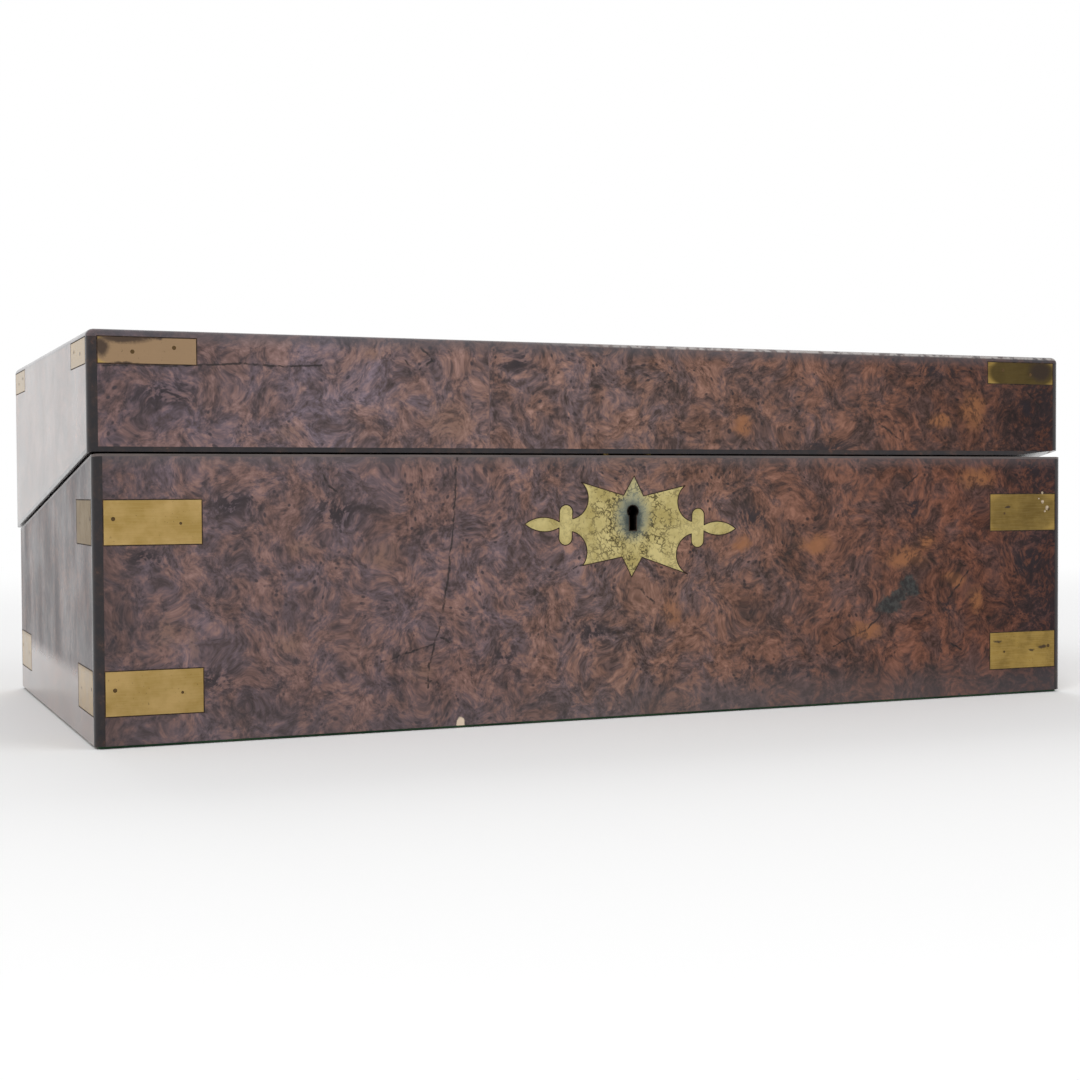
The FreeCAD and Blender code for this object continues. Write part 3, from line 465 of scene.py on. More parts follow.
def straight_wood(name, dark, light, grain="X", gloss=0.4, behind_keyhole=False):
    """Straight-grained wood, its lines along one axis, with a thin wax or polish."""
    paint = Paint(name)
    scales = {"X": (0.06, 1, 1), "Y": (1, 0.06, 1), "Z": (1, 1, 0.06)}[grain]
    place = paint.moved(paint.place, paint.noise(paint.place, 60, detail=1, colour=True), 5)
    drawn_out = paint.stretched(place, scales)
    broad = paint.noise(drawn_out, 6, detail=3, roughness=0.6)
    lines = paint.noise(drawn_out, 0.9, detail=4, roughness=0.7)
    short = tuple(0.12 if scale < 1 else 1 for scale in scales)
    pores = paint.step(paint.noise(paint.stretched(place, short), 0.5, detail=2), 0.60, 0.72)
    tone = paint.math("ADD", paint.math("MULTIPLY", broad, 0.6), paint.math("MULTIPLY", lines, 0.4))
    colour = paint.ramp(tone, [(0.36, dark), (0.64, light)])
    colour = paint.mix(paint.math("MULTIPLY", pores, 0.5), colour, tuple(c * 0.35 for c in dark))
    stain = paint.noise(paint.place, 48, detail=5, roughness=0.65)
    colour = paint.mix(paint.step(stain, 0.52, 0.70, 0.0, 0.4), colour, tuple(c * 0.5 for c in dark))
    if behind_keyhole:
        colour = darken_keyhole(paint, colour)
    normal = paint.bump(paint.math("SUBTRACT", lines, pores), 0.06, 0.5)
    return paint.finish(Base_Color=colour, Roughness=paint.step(stain, 0.3, 0.7, 0.34, 0.55),
                        Specular_IOR_Level=0.4, Coat_Weight=gloss, Coat_Roughness=0.25,
                        Normal=normal)


def ebonised(name):
    """Black-stained edging under polish, rubbed through to brown here and there."""
    paint = Paint(name)
    wear = paint.noise(paint.place, 9, detail=6, roughness=0.75)
    colour = paint.ramp(wear, [(0.45, (0.010, 0.008, 0.010)), (0.60, (0.022, 0.014, 0.013)),
                               (0.72, (0.080, 0.038, 0.026))])
    grain = paint.noise(paint.stretched(paint.place, (0.1, 1, 1)), 0.8, detail=3)
    normal = paint.bump(grain, 0.05, 0.4)
    return paint.finish(Base_Color=colour, Roughness=paint.step(wear, 0.35, 0.65, 0.3, 0.5),
                        Specular_IOR_Level=0.15, Coat_Weight=1.0, Coat_IOR=1.3,
                        Coat_Roughness=0.16, Normal=normal)


# Metal
BRASS_EDGE = (0.62, 0.50, 0.34)


def strap_brass(name):
    """Old flush brass under the polish: golden to the left and olive to the right."""
    paint = Paint(name)
    place = paint.place
    x = paint.axis(place, "X")
    clouds = paint.noise(place, 14, detail=4, roughness=0.6)
    brushed = paint.noise(paint.stretched(place, (0.05, 0.05, 1)), 0.5, detail=3)
    golden = paint.ramp(clouds, [(0.38, (0.33, 0.215, 0.060)), (0.62, (0.46, 0.31, 0.115))])
    olive = paint.ramp(clouds, [(0.38, (0.19, 0.120, 0.028)), (0.62, (0.34, 0.225, 0.060))])
    colour = paint.mix(paint.step(x, -150, 225), golden, olive)
    colour = paint.mix(paint.step(brushed, 0.40, 0.62, 0.0, 0.14), colour, (0.52, 0.38, 0.15))
    ragged = paint.moved(place, paint.noise(place, 3, detail=4, roughness=0.7, colour=True), 1.4)
    front = paint.step(paint.axis(place, "Y"), -120, -121)
    tan = paint.math("MULTIPLY", paint.spot(place, -210, 157, 26, 9, edge=0.9), front)
    colour = paint.mix(paint.math("MULTIPLY", tan, 0.85), colour, (0.29, 0.19, 0.118))
    shade = paint.strongest([paint.spot(place, 211, 157, 22, 9, edge=0.8),
                             paint.math("MULTIPLY", paint.spot(place, 211, 89, 24, 12, edge=0.8), 0.42)])
    shade = paint.math("MULTIPLY", shade, front)
    colour = paint.mix(paint.math("MULTIPLY", shade, 0.80), colour, (0.030, 0.022, 0.009))
    stain = paint.strongest([paint.spot(ragged, *s, edge=0.4) for s in STRAP_STAINS])
    stain = paint.math("MULTIPLY", stain, front)
    colour = paint.mix(paint.math("MULTIPLY", stain, 0.85), colour, (0.035, 0.024, 0.022))
    pits = paint.step(paint.noise(place, 1.3, detail=3, roughness=0.7), 0.64, 0.74)
    colour = paint.mix(paint.math("MULTIPLY", pits, 0.6), colour, (0.07, 0.045, 0.02))
    # On the left end the strap legs get a grey band as painted reflection, with a thinner coat there
    height = paint.axis(place, "Z")
    end = paint.step(x, -234.5, -235)
    painted_reflection_band = paint.math("MULTIPLY", paint.step(height, 28, 32), paint.step(height, 120, 118))
    painted_reflection_band = paint.math("MULTIPLY", painted_reflection_band, end)
    colour = paint.mix(paint.math("MULTIPLY", painted_reflection_band, 0.7), colour, PAINTED_LIGHTING_GREY)
    coat = paint.blend(end, paint.step(x, -150, 225, 0.6, 0.35), 1.0)
    coat = paint.blend(painted_reflection_band, coat, 0.35)
    normal = paint.bump(paint.math("SUBTRACT", brushed, pits), 0.03, 0.5)
    return paint.finish(Base_Color=colour, Metallic=1.0,
                        Roughness=paint.step(clouds, 0.35, 0.65, 0.30, 0.46), Normal=normal,
                        Specular_Tint=BRASS_EDGE, Coat_Weight=coat, Coat_IOR=1.3,
                        Coat_Roughness=0.2)


def plate_brass(name):
    """The escutcheon: pale yellow brass, finely crazed, grey-green round the keyhole."""
    paint = Paint(name)
    place = paint.place
    clouds = paint.noise(place, 9, detail=4, roughness=0.6)
    colour = paint.ramp(clouds, [(0.36, (0.40, 0.325, 0.125)), (0.64, (0.60, 0.51, 0.235))])
    warped = paint.moved(place, paint.noise(place, 3, detail=3, roughness=0.7, colour=True), 2.2)
    offset = paint.vector("SUBTRACT", warped, (ESCUTCHEON_X, 0, KEYHOLE_Z))
    reach = paint.vector("LENGTH", paint.stretched(offset, (1, 0, 0.8)))
    angle = paint.math("ARCTAN2", paint.axis(offset, "Z"), paint.axis(offset, "X"))
    turned = paint.node("ShaderNodeCombineXYZ", 0, {}, {0: angle, 1: reach})
    rays = paint.noise(paint.stretched(turned, (9, 0.3, 1)), 0.75, detail=2, roughness=0.6)
    rays = paint.math("MULTIPLY", paint.step(rays, 0.56, 0.66), paint.step(reach, 17, 8, 0.1, 1.0))
    crazing = paint.step(paint.cells(warped, 2.6, "DISTANCE_TO_EDGE"), 0.15, 0.02)
    arcs = paint.math("SINE", paint.math("MULTIPLY", reach, 2.1))
    arcs = paint.math("MULTIPLY", paint.step(arcs, 0.80, 0.98), paint.step(paint.axis(place, "X"), -5, -10))
    broken = paint.step(paint.noise(place, 5, detail=4, roughness=0.7), 0.42, 0.56)
    lines = paint.math("MAXIMUM", paint.math("MULTIPLY", arcs, 0.8), crazing)
    lines = paint.math("MULTIPLY", lines, broken)
    lines = paint.math("MULTIPLY", lines, paint.step(reach, 32, 10, 0.30, 1.0))
    lines = paint.math("MAXIMUM", lines, paint.math("MULTIPLY", rays, 0.75))
    colour = paint.mix(lines, colour, (0.085, 0.068, 0.034))
    ragged = paint.moved(place, paint.noise(place, 2.2, detail=4, roughness=0.7, colour=True), 2.4)
    spike = paint.spot(ragged, ESCUTCHEON_X + 0.6, KEYHOLE_Z + 14, 5, 10, edge=0.4)
    colour = paint.mix(paint.math("MULTIPLY", spike, 0.35), colour, (0.36, 0.37, 0.26))
    halo = paint.spot(ragged, ESCUTCHEON_X, KEYHOLE_Z + 0.8, 11.5, 14.5, edge=0.30)
    halo = paint.math("MULTIPLY", halo, paint.step(rays, 0.0, 0.8, 0.80, 1.0))
    colour = paint.mix(halo, colour, (0.180, 0.215, 0.198))
    rim = paint.spot(ragged, ESCUTCHEON_X, KEYHOLE_Z - 0.8, 6.2, 10.2, edge=0.45)
    colour = paint.mix(paint.math("MULTIPLY", rim, 0.80), colour, (0.022, 0.034, 0.042))
    normal = paint.bump(paint.math("SUBTRACT", clouds, lines), 0.04, 0.6)
    return paint.finish(Base_Color=colour, Metallic=1.0,
                        Roughness=paint.step(clouds, 0.35, 0.65, 0.34, 0.50), Normal=normal)


def darken_keyhole(paint, colour):
    """Painted shade: black where light would otherwise show behind the keyhole."""
    front = paint.step(paint.axis(paint.place, "Y"), -94, -98)
    hole = paint.spot(paint.place, ESCUTCHEON_X, KEYHOLE_Z, 8, 13, edge=0.8)
    return paint.mix(paint.math("MULTIPLY", hole, front), colour, (0.004, 0.003, 0.003))


def inner_brass(name, tone=(0.50, 0.35, 0.13), behind_keyhole=False):
    """Brass kept inside the box, brighter and only a little tarnished."""
    paint = Paint(name)
    clouds = paint.noise(paint.place, 8, detail=4, roughness=0.65)
    tarnish = paint.step(clouds, 0.50, 0.68, 0.0, 0.6)
    colour = paint.mix(tarnish, tone, tuple(c * 0.42 for c in tone))
    if behind_keyhole:
        colour = darken_keyhole(paint, colour)
    scratches = paint.noise(paint.stretched(paint.place, (0.08, 1, 1)), 0.35, detail=2)
    normal = paint.bump(scratches, 0.02, 0.5)
    return paint.finish(Base_Color=colour, Metallic=1.0,
                        Roughness=paint.step(clouds, 0.35, 0.65, 0.22, 0.42), Normal=normal)


def dull_steel(name):
    paint = Paint(name)
    clouds = paint.noise(paint.place, 5, detail=5, roughness=0.7)
    colour = paint.ramp(clouds, [(0.38, (0.19, 0.18, 0.17)), (0.60, (0.42, 0.41, 0.40))])
    rust = paint.step(paint.noise(paint.place, 3, detail=4, roughness=0.7), 0.60, 0.70, 0.0, 0.7)
    colour = paint.mix(rust, colour, (0.11, 0.050, 0.022))
    filed = paint.noise(paint.stretched(paint.place, (0.1, 1, 1)), 0.4, detail=2)
    return paint.finish(Base_Color=colour, Metallic=1.0,
                        Roughness=paint.step(clouds, 0.35, 0.65, 0.30, 0.52),
                        Normal=paint.bump(filed, 0.03, 0.6))


# Leather, cloth and glass
def green_leather(name):
    paint = Paint(name)
    pebbles = paint.cells(paint.place, 0.9)
    clouds = paint.noise(paint.place, 45, detail=5, roughness=0.6)
    colour = paint.ramp(clouds, [(0.38, (0.020, 0.060, 0.032)), (0.62, (0.052, 0.125, 0.066))])
    rubbed = paint.step(paint.noise(paint.place, 70, detail=4), 0.52, 0.66, 0.0, 0.45)
    colour = paint.mix(rubbed, colour, (0.10, 0.15, 0.075))
    normal = paint.bump(pebbles, 0.08, 0.6)
    return paint.finish(Base_Color=colour, Roughness=paint.step(clouds, 0.35, 0.65, 0.42, 0.60),
                        Specular_IOR_Level=0.45, Normal=normal)


def baize_cloth(name):
    paint = Paint(name)
    fibres = paint.noise(paint.place, 0.6, detail=4, roughness=0.8)
    clouds = paint.noise(paint.place, 35, detail=4)
    colour = paint.ramp(clouds, [(0.4, (0.018, 0.060, 0.030)), (0.62, (0.045, 0.105, 0.052))])
    colour = paint.mix(paint.step(fibres, 0.55, 0.70, 0.0, 0.4), colour, (0.09, 0.15, 0.09))
    return paint.finish(Base_Color=colour, Roughness=0.95, Specular_IOR_Level=0.1,
                        Sheen_Weight=0.4, Sheen_Roughness=0.5, Normal=paint.bump(fibres, 0.25, 0.7))


def bottle_glass(name):
    paint = Paint(name)
    ripple = paint.noise(paint.place, 7, detail=2)
    smears = paint.noise(paint.place, 5, detail=4, roughness=0.7)
    return paint.finish(Base_Color=(0.86, 0.95, 0.91), Transmission_Weight=0.8, IOR=1.5,
                        Roughness=paint.step(smears, 0.45, 0.70, 0.02, 0.16),
                        Normal=paint.bump(ripple, 0.12, 0.5))


def gilding(name):
    paint = Paint(name)
    wear_and_painted_sheen = paint.noise(paint.place, 1.4, detail=4, roughness=0.75)
    colour = paint.ramp(wear_and_painted_sheen, [(0.42, (0.24, 0.165, 0.045)), (0.55, (0.62, 0.43, 0.13))])
    return paint.finish(Base_Color=colour, Metallic=1.0, Roughness=0.34,
                        Normal=paint.bump(wear_and_painted_sheen, 0.02, 0.5))


# Dark lines along inlaid joints: glue, and painted shade of the joint
def dark_glue_and_shade(name):
    paint = Paint(name)
    grime = paint.noise(paint.place, 2.5, detail=4, roughness=0.7)
    colour = paint.ramp(grime, [(0.40, (0.012, 0.008, 0.006)), (0.65, (0.055, 0.032, 0.020))])
    return paint.finish(Base_Color=colour, Roughness=0.75, Specular_IOR_Level=0.2)


def pale_paint(name):
    paint = Paint(name)
    grime = paint.noise(paint.place, 0.8, detail=3)
    colour = paint.ramp(grime, [(0.38, (0.24, 0.18, 0.11)), (0.62, (0.48, 0.38, 0.27))])
    return paint.finish(Base_Color=colour, Roughness=0.6, Normal=paint.bump(grime, 0.05, 0.6))


MAHOGANY_DARK = (0.085, 0.026, 0.012)
MAHOGANY_LIGHT = (0.235, 0.082, 0.036)
BARE_DARK = (0.16, 0.062, 0.028)
BARE_LIGHT = (0.36, 0.165, 0.080)

base_front = burr_veneer("burr_base_front", (0, 0, 0), front="base")
lid_front = burr_veneer("burr_lid_front", (130, 0, 60), front="lid")
base_ends = burr_veneer("burr_base_ends", (400, 50, 20), axis=(1, 0, 0), painted_reflection_end=True,
                        coat_ior=1.5)
lid_ends = burr_veneer("burr_lid_ends", (400, 50, 20), axis=(1, 0, 0), coat_ior=1.5)
burr_backs = burr_veneer("burr_backs", (900, 300, 150))
burr_top = burr_veneer("burr_top", (1500, 700, 90), axis=(0, 0, 1))
rim_wood = straight_wood("rim_walnut", (0.034, 0.024, 0.023), (0.088, 0.062, 0.057), gloss=0.8)
inside_wood = straight_wood("inside_mahogany", MAHOGANY_DARK, MAHOGANY_LIGHT, gloss=0.5)
inside_sides = straight_wood("inside_mahogany_ends", BARE_DARK, BARE_LIGHT, grain="Y", gloss=0.1)
bare_wood = straight_wood("bare_mahogany", BARE_DARK, BARE_LIGHT, gloss=0.1)
lock_side = straight_wood("bare_mahogany_by_lock", BARE_DARK, BARE_LIGHT, gloss=0.1,
                          behind_keyhole=True)
black_edge = ebonised("ebonised_edging")
straps = strap_brass("strap_brass")
escutcheon = plate_brass("escutcheon_brass")
inside_brass = inner_brass("inner_brass")
lock_brass = inner_brass("lock_brass", behind_keyhole=True)
screw_brass = inner_brass("screw_brass", (0.42, 0.30, 0.12))
steel = dull_steel("dull_steel")
leather = green_leather("green_leather")
baize = baize_cloth("baize")
glass = bottle_glass("bottle_glass")
pin_brass = inner_brass("pin_brass", (0.10, 0.062, 0.028))
gilt = gilding("gilt_tooling")
glue_and_shade = dark_glue_and_shade("glue_and_shade_line")
specks = pale_paint("paint_specks")

CAD_MATERIALS = [
    (base_front, ["base_front_veneer"]),
    (lid_front, ["lid_front_veneer", "lid_top_moulding"]),
    (base_ends, ["base_left_veneer", "base_right_veneer"]),
    (lid_ends, ["lid_left_veneer", "lid_right_veneer"]),
    (burr_backs, ["base_back_veneer", "lid_back_veneer"]),
    (burr_top, ["lid_top_veneer"]),
    (black_edge, ["base_corner_mouldings", "lid_corner_mouldings", "lid_rim_facings"]),
    (rim_wood, ["base_rim_facings"]),
    (inside_wood, ["section_partition", "section_shelf", "pen_tray", "tray_bearers",
                   "upper_flap_board", "lower_flap_board"]),
    (inside_sides, ["base_left_board", "base_right_board", "lid_left_board", "lid_right_board",
                    "ink_dividers", "upper_flap_ledges", "lower_flap_ledges"]),
    (lock_side, ["base_front_board"]),
    (bare_wood, ["base_back_board", "base_floor", "lid_front_board", "lid_back_board",
                 "lid_top_board"]),
    (straps, ["base_straps", "lid_straps"]),
    (escutcheon, ["escutcheon"]),
    (lock_brass, ["lock_case", "lock_cap"]),
    (inside_brass, ["link_plate", "hinge_base_leaves", "hinge_lid_leaves",
                    "hinge_pins", "upper_flap_fixed_leaves", "upper_flap_moving_leaves",
                    "lower_flap_fixed_leaves", "lower_flap_moving_leaves",
                    "left_inkwell_cap", "right_inkwell_cap"]),
    (steel, ["lock_bolt"]),
    (leather, ["upper_flap_leather", "lower_flap_leather"]),
    (baize, ["underside_baize"]),
    (glass, ["left_inkwell", "right_inkwell"]),
]
for material, names in CAD_MATERIALS:
    for name in names:
        for slot in nodes[name].material_slots:
            slot.material = material

# Small pieces
# Width of the dark lines round straps and escutcheon: glue and painted shade
GLUE_AND_SHADE_WIDTH = 0.00045
FACE_LIFT = 0.00003
PIN_RADIUS = 0.00085
PIN_PROUD = 0.00006
# Each pin is its place along and up the strap, as shares of its sides, and its relative size
PIN_PLACES = {
    "base": ((-0.40, 0.08, 1.0), (0.28, -0.03, 0.7)),
    "lid": ((-0.15, -0.05, 1.0), (0.27, 0.13, 1.0)),
}
# Each speck of paint is its x, its z and its radius, in millimetres
SPECK_PLACES = [
    (223.2, 98.4, 0.7),
    (223.4, 94.0, 0.9),
    (226.2, 91.0, 1.1),
    (224.8, 89.4, 0.6),
    (221.2, 95.6, 0.4),
]
SCREW_RADIUS = 0.0021
SCREW_PROUD = 0.00022
SCREW_SLOT = 0.00055
SCREW_SIDES = 28
GILT_PROUD = 0.00004
GILT_WIDE = 0.0012
GILT_NARROW = 0.0005
GILT_INSET = 0.0045
GILT_STEP = 0.0034
LOZENGE_PITCH = 0.0075
LOZENGE_LONG = 0.0024
LOZENGE_HIGH = 0.0013
HINGE_AXIS = Vector((0, 0.1225, 0.0825))
SLOPE = math.atan(0.13906)
ALONG = Vector((0, math.cos(SLOPE), -math.sin(SLOPE)))
UP = Vector((0, math.sin(SLOPE), math.cos(SLOPE)))
HALF_GAP = 0.0004
RIM_SCREW_DISTANCE = 0.0064
RIM_SCREW_STEP = 0.017
HINGE_X = 0.150
LOCK_X = -0.0006
LOCK_SCREW_X = 0.0255


def add_piece(name, mesh, materials, body):
    shape = bpy.data.meshes.new(name)
    mesh.to_mesh(shape)
    mesh.free()
    for material in materials:
        shape.materials.append(material)
    piece = bpy.data.objects.new(name, shape)
    bpy.context.scene.collection.objects.link(piece)
    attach(piece, body)
    return piece


def islands(node):
    """Lowest and highest corner of each separate solid in a node."""
    mesh = bmesh.new()
    mesh.from_mesh(nodes[node].data)
    bmesh.ops.remove_doubles(mesh, verts=mesh.verts, dist=1e-6)
    left = set(mesh.verts)
    boxes = []
    while left:
        reached = [left.pop()]
        for vertex in reached:
            for edge in vertex.link_edges:
                other = edge.other_vert(vertex)
                if other in left:
                    left.remove(other)
                    reached.append(other)
        places = [vertex.co for vertex in reached]
        low = Vector([min(place[i] for place in places) for i in range(3)])
        high = Vector([max(place[i] for place in places) for i in range(3)])
        boxes.append((low, high))
    mesh.free()
    return sorted(boxes, key=lambda pair: tuple(pair[0]))


def outer_face(low, high):
    """Middle of a strap's outer face, its outward direction and its long and short sides."""
    size = high - low
    middle = (low + high) / 2
    thin = 0 if size.x < size.y else 1
    outward = Vector((0, 0, 0))
    outward[thin] = 1 if middle[thin] > 0 else -1
    middle[thin] = high[thin] if middle[thin] > 0 else low[thin]
    flat = Vector((0, 0, 0))
    flat[1 - thin] = 1
    return middle, outward, flat * size[1 - thin], Vector((0, 0, size.z))


def add_quad(mesh, centre, half_a, half_b):
    corners = [centre - half_a - half_b, centre + half_a - half_b,
               centre + half_a + half_b, centre - half_a + half_b]
    mesh.faces.new([mesh.verts.new(corner) for corner in corners])


def add_outline(mesh, centre, long_side, short_side, width, outward):
    """A flat line round a rectangle, its corners mitred by overlap within one plane."""
    a, b = long_side / 2, short_side / 2
    thin_a, thin_b = a.normalized() * width / 2, b.normalized() * width / 2
    inner = [centre + sa * (a - thin_a) + sb * (b - thin_b)
             for sa, sb in ((-1, -1), (1, -1), (1, 1), (-1, 1))]
    outer = [centre + sa * (a + thin_a) + sb * (b + thin_b)
             for sa, sb in ((-1, -1), (1, -1), (1, 1), (-1, 1))]
    inside = [mesh.verts.new(place) for place in inner]
    outside = [mesh.verts.new(place) for place in outer]
    for i in range(4):
        j = (i + 1) % 4
        face = mesh.faces.new([outside[i], outside[j], inside[j], inside[i]])
        face.normal_update()
        if face.normal.dot(outward) < 0:
            face.normal_flip()


def escutcheon_outline():
    """A dark line along every edge of the escutcheon's face: glue in the joint, and painted shade of the
    joint.
    """
    source = bmesh.new()
    source.from_mesh(nodes["escutcheon"].data)
    bmesh.ops.remove_doubles(source, verts=source.verts, dist=1e-6)
    level = min(vertex.co.y for vertex in source.verts)
    face_set = {face for face in source.faces
                if all(abs(vertex.co.y - level) < 1e-6 for vertex in face.verts)}
    lines = bmesh.new()
    for edge in source.edges:
        if len(face_set.intersection(edge.link_faces)) != 1:
            continue
        start, end = edge.verts[0].co.copy(), edge.verts[1].co.copy()
        start.y = end.y = level - FACE_LIFT
        run = (end - start) / 2
        across = run.cross(Vector((0, 1, 0))).normalized() * GLUE_AND_SHADE_WIDTH / 2
        add_quad(lines, (start + end) / 2, run + run.normalized() * GLUE_AND_SHADE_WIDTH * 0.2, across)
    source.free()
    bmesh.ops.recalc_face_normals(lines, faces=lines.faces)
    add_piece("escutcheon_glue_and_shade_line", lines, [glue_and_shade], "base")


def add_dome(mesh, centre, outward, radius, height, sides=14):
    """A low round head standing on a face."""
    across = outward.orthogonal().normalized()
    other = outward.cross(across)
    rings = []
    for part, lift in ((1.0, 0.0), (0.8, 0.7), (0.45, 1.0)):
        rings.append([mesh.verts.new(centre + outward * height * lift
                                     + radius * part * (across * math.cos(2 * math.pi * i / sides)
                                                        + other * math.sin(2 * math.pi * i / sides)))
                      for i in range(sides)])
    for low_ring, high_ring in zip(rings, rings[1:]):
        for i in range(sides):
            j = (i + 1) % sides
            mesh.faces.new([low_ring[i], low_ring[j], high_ring[j], high_ring[i]])
    mesh.faces.new(rings[-1])


def strap_details(node, body):
    """The dark line round each strap, glue in the joint and painted shade of it, and its two pins."""
    lines, pins = bmesh.new(), bmesh.new()
    for low, high in islands(node):
        middle, outward, long_side, short_side = outer_face(low, high)
        add_outline(lines, middle + outward * FACE_LIFT, long_side, short_side, GLUE_AND_SHADE_WIDTH, outward)
        side = -1 if middle.dot(long_side) > 0 else 1
        for share, lift, size in PIN_PLACES[body]:
            place = middle + long_side * share * side + short_side * lift
            add_dome(pins, place + outward * FACE_LIFT, outward, PIN_RADIUS * size, PIN_PROUD)
    add_piece(body + "_strap_glue_and_shade_lines", lines, [glue_and_shade], body)
    add_piece(body + "_strap_pins", pins, [pin_brass], body)


def add_screw(mesh, centre, outward, turn):
    """A countersunk head: a dark bottom and two raised halves with the slot between them."""
    across = outward.orthogonal().normalized()
    across = Matrix.Rotation(turn, 3, outward) @ across
    other = outward.cross(across)
    floor = [mesh.verts.new(centre + outward * SCREW_PROUD * 0.15 + SCREW_RADIUS
                            * (across * math.cos(2 * math.pi * i / SCREW_SIDES)
                               + other * math.sin(2 * math.pi * i / SCREW_SIDES)))
             for i in range(SCREW_SIDES)]
    mesh.faces.new(floor).material_index = 1
    half_slot = SCREW_SLOT / 2
    start = math.asin(half_slot / SCREW_RADIUS)
    steps = SCREW_SIDES // 2
    for side in (1, -1):
        bottom, top = [], []
        for i in range(steps + 1):
            angle = start + (math.pi - 2 * start) * i / steps
            flat = across * math.cos(angle) + other * math.sin(angle) * side
            rim = flat * SCREW_RADIUS
            bottom.append(mesh.verts.new(centre + rim))
            top.append(mesh.verts.new(centre + rim * 0.93 + other * side * half_slot * 0.07
                                      + outward * SCREW_PROUD))
        cap = mesh.faces.new(top)
        for i in range(steps + 1):
            j = (i + 1) % (steps + 1)
            mesh.faces.new([bottom[i], bottom[j], top[j], top[i]])
        cap.normal_update()


def add_screws():
    """Heads on the rim: three in each hinge leaf and two in the lock plate and the link plate."""
    rng = random.Random(7)
    lock_distance = (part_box("link_plate")[0].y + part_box("link_plate")[1].y) / 2 - HINGE_AXIS.y
    for body, side in (("base", -1), ("lid", 1)):
        mesh = bmesh.new()
        places = [(x + step * RIM_SCREW_STEP, -RIM_SCREW_DISTANCE)
                  for x in (-HINGE_X, HINGE_X) for step in (-1, 0, 1)]
        places += [(LOCK_X + step * LOCK_SCREW_X, lock_distance / ALONG.y) for step in (-1, 1)]
        for x, distance in places:
            centre = HINGE_AXIS + Vector((x, 0, 0)) + ALONG * distance + UP * HALF_GAP * side
            outward = -UP * side
            add_screw(mesh, centre, outward, rng.uniform(0, math.pi))
        bmesh.ops.recalc_face_normals(mesh, faces=mesh.faces)
        add_piece(body + "_screw_heads", mesh, [screw_brass, glue_and_shade], body)


def gilt_border(node, body):
    """Gilt tooling on a flap's leather: a wide and a narrow line with small lozenges between."""
    places = [vertex.co - HINGE_AXIS for vertex in nodes[node].data.vertices]
    x0, x1 = min(place.x for place in places), max(place.x for place in places)
    slope_places = [place.dot(ALONG) for place in places]
    y0, y1 = min(slope_places), max(slope_places)
    height = [place.dot(UP) for place in places]
    outward = UP if body == "upper_flap" else -UP
    level = (max(height) if body == "upper_flap" else min(height))
    centre = HINGE_AXIS + Vector(((x0 + x1) / 2, 0, 0)) + ALONG * (y0 + y1) / 2 + UP * level
    centre = centre + outward * GILT_PROUD
    mesh = bmesh.new()
    for inset, width in ((GILT_INSET, GILT_WIDE), (GILT_INSET + 2 * GILT_STEP, GILT_NARROW)):
        long_side = Vector((x1 - x0 - 2 * inset, 0, 0))
        short_side = ALONG * (y1 - y0 - 2 * inset)
        add_outline(mesh, centre, long_side, short_side, width, outward)
    half_x = (x1 - x0) / 2 - GILT_INSET - GILT_STEP
    half_y = (y1 - y0) / 2 - GILT_INSET - GILT_STEP
    right = Vector((1, 0, 0))
    for run, half_run, off, half_off in ((right, half_x, ALONG, half_y), (ALONG, half_y, right, half_x)):
        count = int(2 * half_run / LOZENGE_PITCH)
        for i in range(count + 1):
            place = run * (-half_run + 2 * half_run * i / count)
            for side in (-1, 1):
                middle = centre + place + off * half_off * side
                tips = [middle - run * LOZENGE_LONG / 2, middle - off * LOZENGE_HIGH / 2,
                        middle + run * LOZENGE_LONG / 2, middle + off * LOZENGE_HIGH / 2]
                face = mesh.faces.new([mesh.verts.new(tip) for tip in tips])
                face.normal_update()
                if face.normal.dot(outward) < 0:
                    face.normal_flip()
    add_piece(body + "_gilt_border", mesh, [gilt], body)


def add_paint_specks():
    """Splashes of old paint by the upper right strap."""
    mesh = bmesh.new()
    face_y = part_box("base_straps")[0].y
    for x, z, radius in SPECK_PLACES:
        add_dome(mesh, Vector((x * MM, face_y - FACE_LIFT, z * MM)), Vector((0, -1, 0)),
                 radius * MM, PIN_PROUD, sides=9)
    add_piece("paint_specks", mesh, [specks], "base")


strap_details("base_straps", "base")
strap_details("lid_straps", "lid")
escutcheon_outline()
add_screws()
gilt_border("upper_flap_leather", "upper_flap")
gilt_border("lower_flap_leather", "lower_flap")
add_paint_specks()


# Camera, at the photo's place and angle
CAMERA_PLACE = Vector((-0.3409, -0.8208, 0.1004))
CAMERA_YAW = 0.4002
CAMERA_PITCH = -0.0277
CAMERA_ROLL = -0.0053
CAMERA_LENS = 58.45


def add_camera():
    forward = Vector((math.sin(CAMERA_YAW) * math.cos(CAMERA_PITCH),
                      math.cos(CAMERA_YAW) * math.cos(CAMERA_PITCH), math.sin(CAMERA_PITCH)))
    level = Vector((math.cos(CAMERA_YAW), -math.sin(CAMERA_YAW), 0))
    upright = level.cross(forward)
    right = level * math.cos(CAMERA_ROLL) + upright * math.sin(CAMERA_ROLL)
    up = upright * math.cos(CAMERA_ROLL) - level * math.sin(CAMERA_ROLL)
    camera = bpy.data.objects.new("camera", bpy.data.cameras.new("camera"))
    camera.data.lens = CAMERA_LENS
    camera.data.sensor_width = 36.0
    camera.data.clip_start = 0.01
    turn = Matrix((right, up, -forward)).transposed()
    camera.matrix_world = Matrix.Translation(CAMERA_PLACE) @ turn.to_4x4()
    bpy.context.scene.collection.objects.link(camera)
    bpy.context.scene.camera = camera


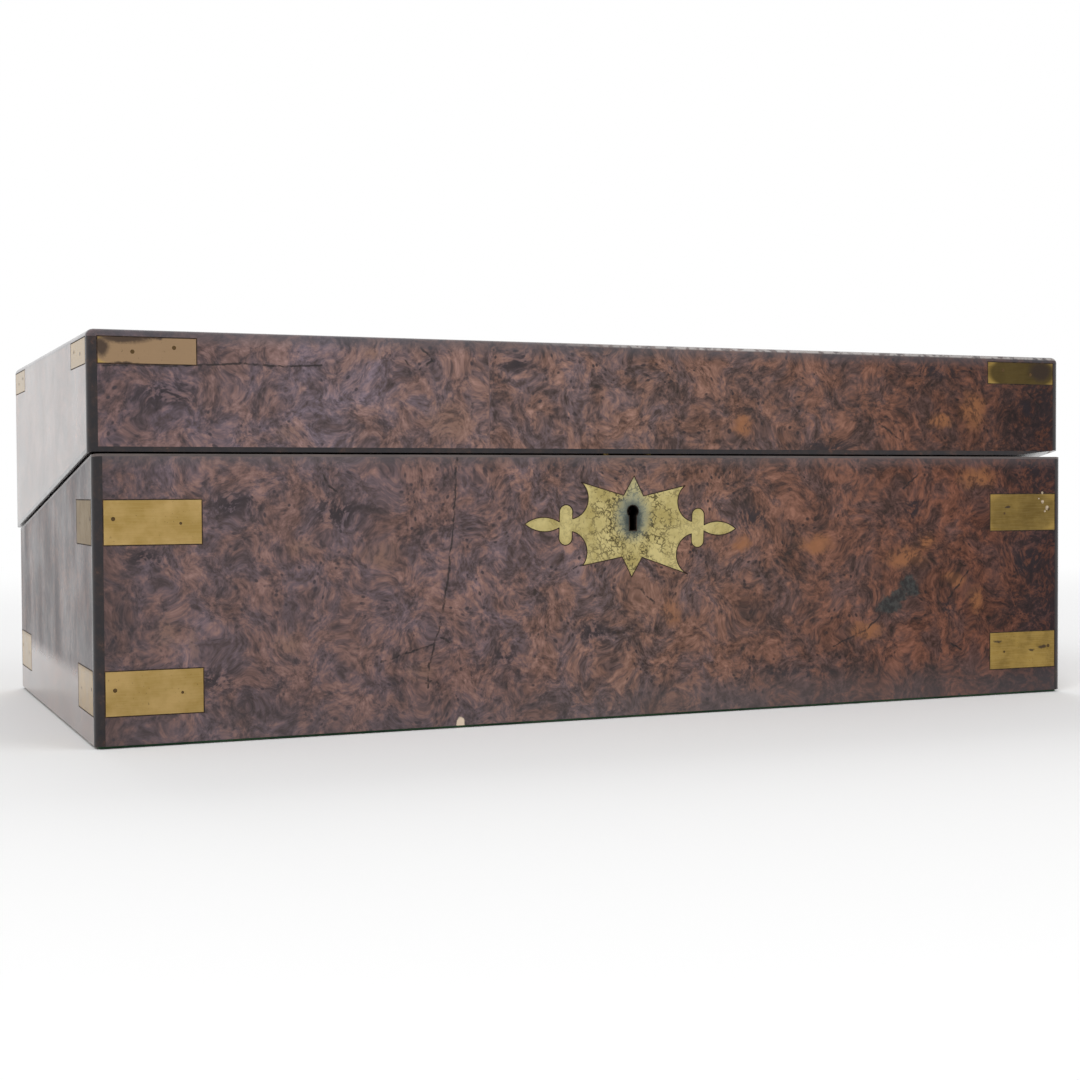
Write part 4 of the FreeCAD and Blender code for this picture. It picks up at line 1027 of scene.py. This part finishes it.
def add_lamp(name, place, aim, size, power):
    lamp = bpy.data.lights.new(name, "AREA")
    lamp.shape = "SQUARE"
    lamp.size = size
    lamp.energy = power
    holder = bpy.data.objects.new(name, lamp)
    holder.location = place
    holder.rotation_euler = (Vector(aim) - Vector(place)).to_track_quat("-Z", "Y").to_euler()
    holder.visible_glossy = False
    bpy.context.scene.collection.objects.link(holder)


def add_world():
    """White where the camera, a reflection or glass looks at it, and a soft fill elsewhere."""
    world = bpy.data.worlds.new("studio")
    world.use_nodes = True
    bpy.context.scene.world = world
    tree = world.node_tree
    path = tree.nodes.new("ShaderNodeLightPath")
    seen = path.outputs["Is Camera Ray"]
    for name in ("Is Glossy Ray", "Is Transmission Ray"):
        either = tree.nodes.new("ShaderNodeMath")
        either.operation = "MAXIMUM"
        tree.links.new(seen, either.inputs[0])
        tree.links.new(path.outputs[name], either.inputs[1])
        seen = either.outputs[0]
    level = tree.nodes.new("ShaderNodeMapRange")
    tree.links.new(seen, level.inputs["Value"])
    level.inputs["To Min"].default_value = WORLD_FILL
    level.inputs["To Max"].default_value = 1.0
    tree.links.new(level.outputs[0], tree.nodes["Background"].inputs["Strength"])
    tree.nodes["Background"].inputs["Color"].default_value = (1, 1, 1, 1)


WORLD_FILL = 0.42
FLOOR_HALF = 9.0
FLOOR_NEAR = 0.55
FLOOR_FAR = 1.6


def add_floor():
    """A pale floor that keeps the shadow near the box and fades to the white background."""
    side = bmesh.new()
    bmesh.ops.create_grid(side, x_segments=1, y_segments=1, size=FLOOR_HALF)
    mesh = bpy.data.meshes.new("floor")
    side.to_mesh(mesh)
    side.free()
    floor = bpy.data.objects.new("floor", mesh)
    floor.location.z = -0.0002
    bpy.context.scene.collection.objects.link(floor)
    paint = Paint("floor")
    distance = paint.vector("LENGTH", paint.stretched(paint.place, (MM, MM, 0)))
    far = paint.step(distance, FLOOR_NEAR, FLOOR_FAR)
    paint.finish(Base_Color=(0.93, 0.93, 0.93), Roughness=0.9, Specular_IOR_Level=0.1)
    white = paint.tree.nodes.new("ShaderNodeEmission")
    blend = paint.tree.nodes.new("ShaderNodeMixShader")
    paint.tree.links.new(far, blend.inputs[0])
    paint.tree.links.new(paint.shader.outputs[0], blend.inputs[1])
    paint.tree.links.new(white.outputs[0], blend.inputs[2])
    paint.tree.links.new(blend.outputs[0], paint.tree.nodes["Material Output"].inputs["Surface"])
    mesh.materials.append(paint.material)


add_camera()
add_world()
add_floor()
add_lamp("key", (-1.3, -1.7, 1.7), (0, 0, 0.08), 1.6, 38)
add_lamp("fill", (1.6, -1.5, 1.2), (0, 0, 0.08), 1.8, 16)
add_lamp("back", (0.4, 1.9, 1.8), (0, 0, 0.1), 1.8, 24)

bpy.context.scene.view_settings.view_transform = "Standard"
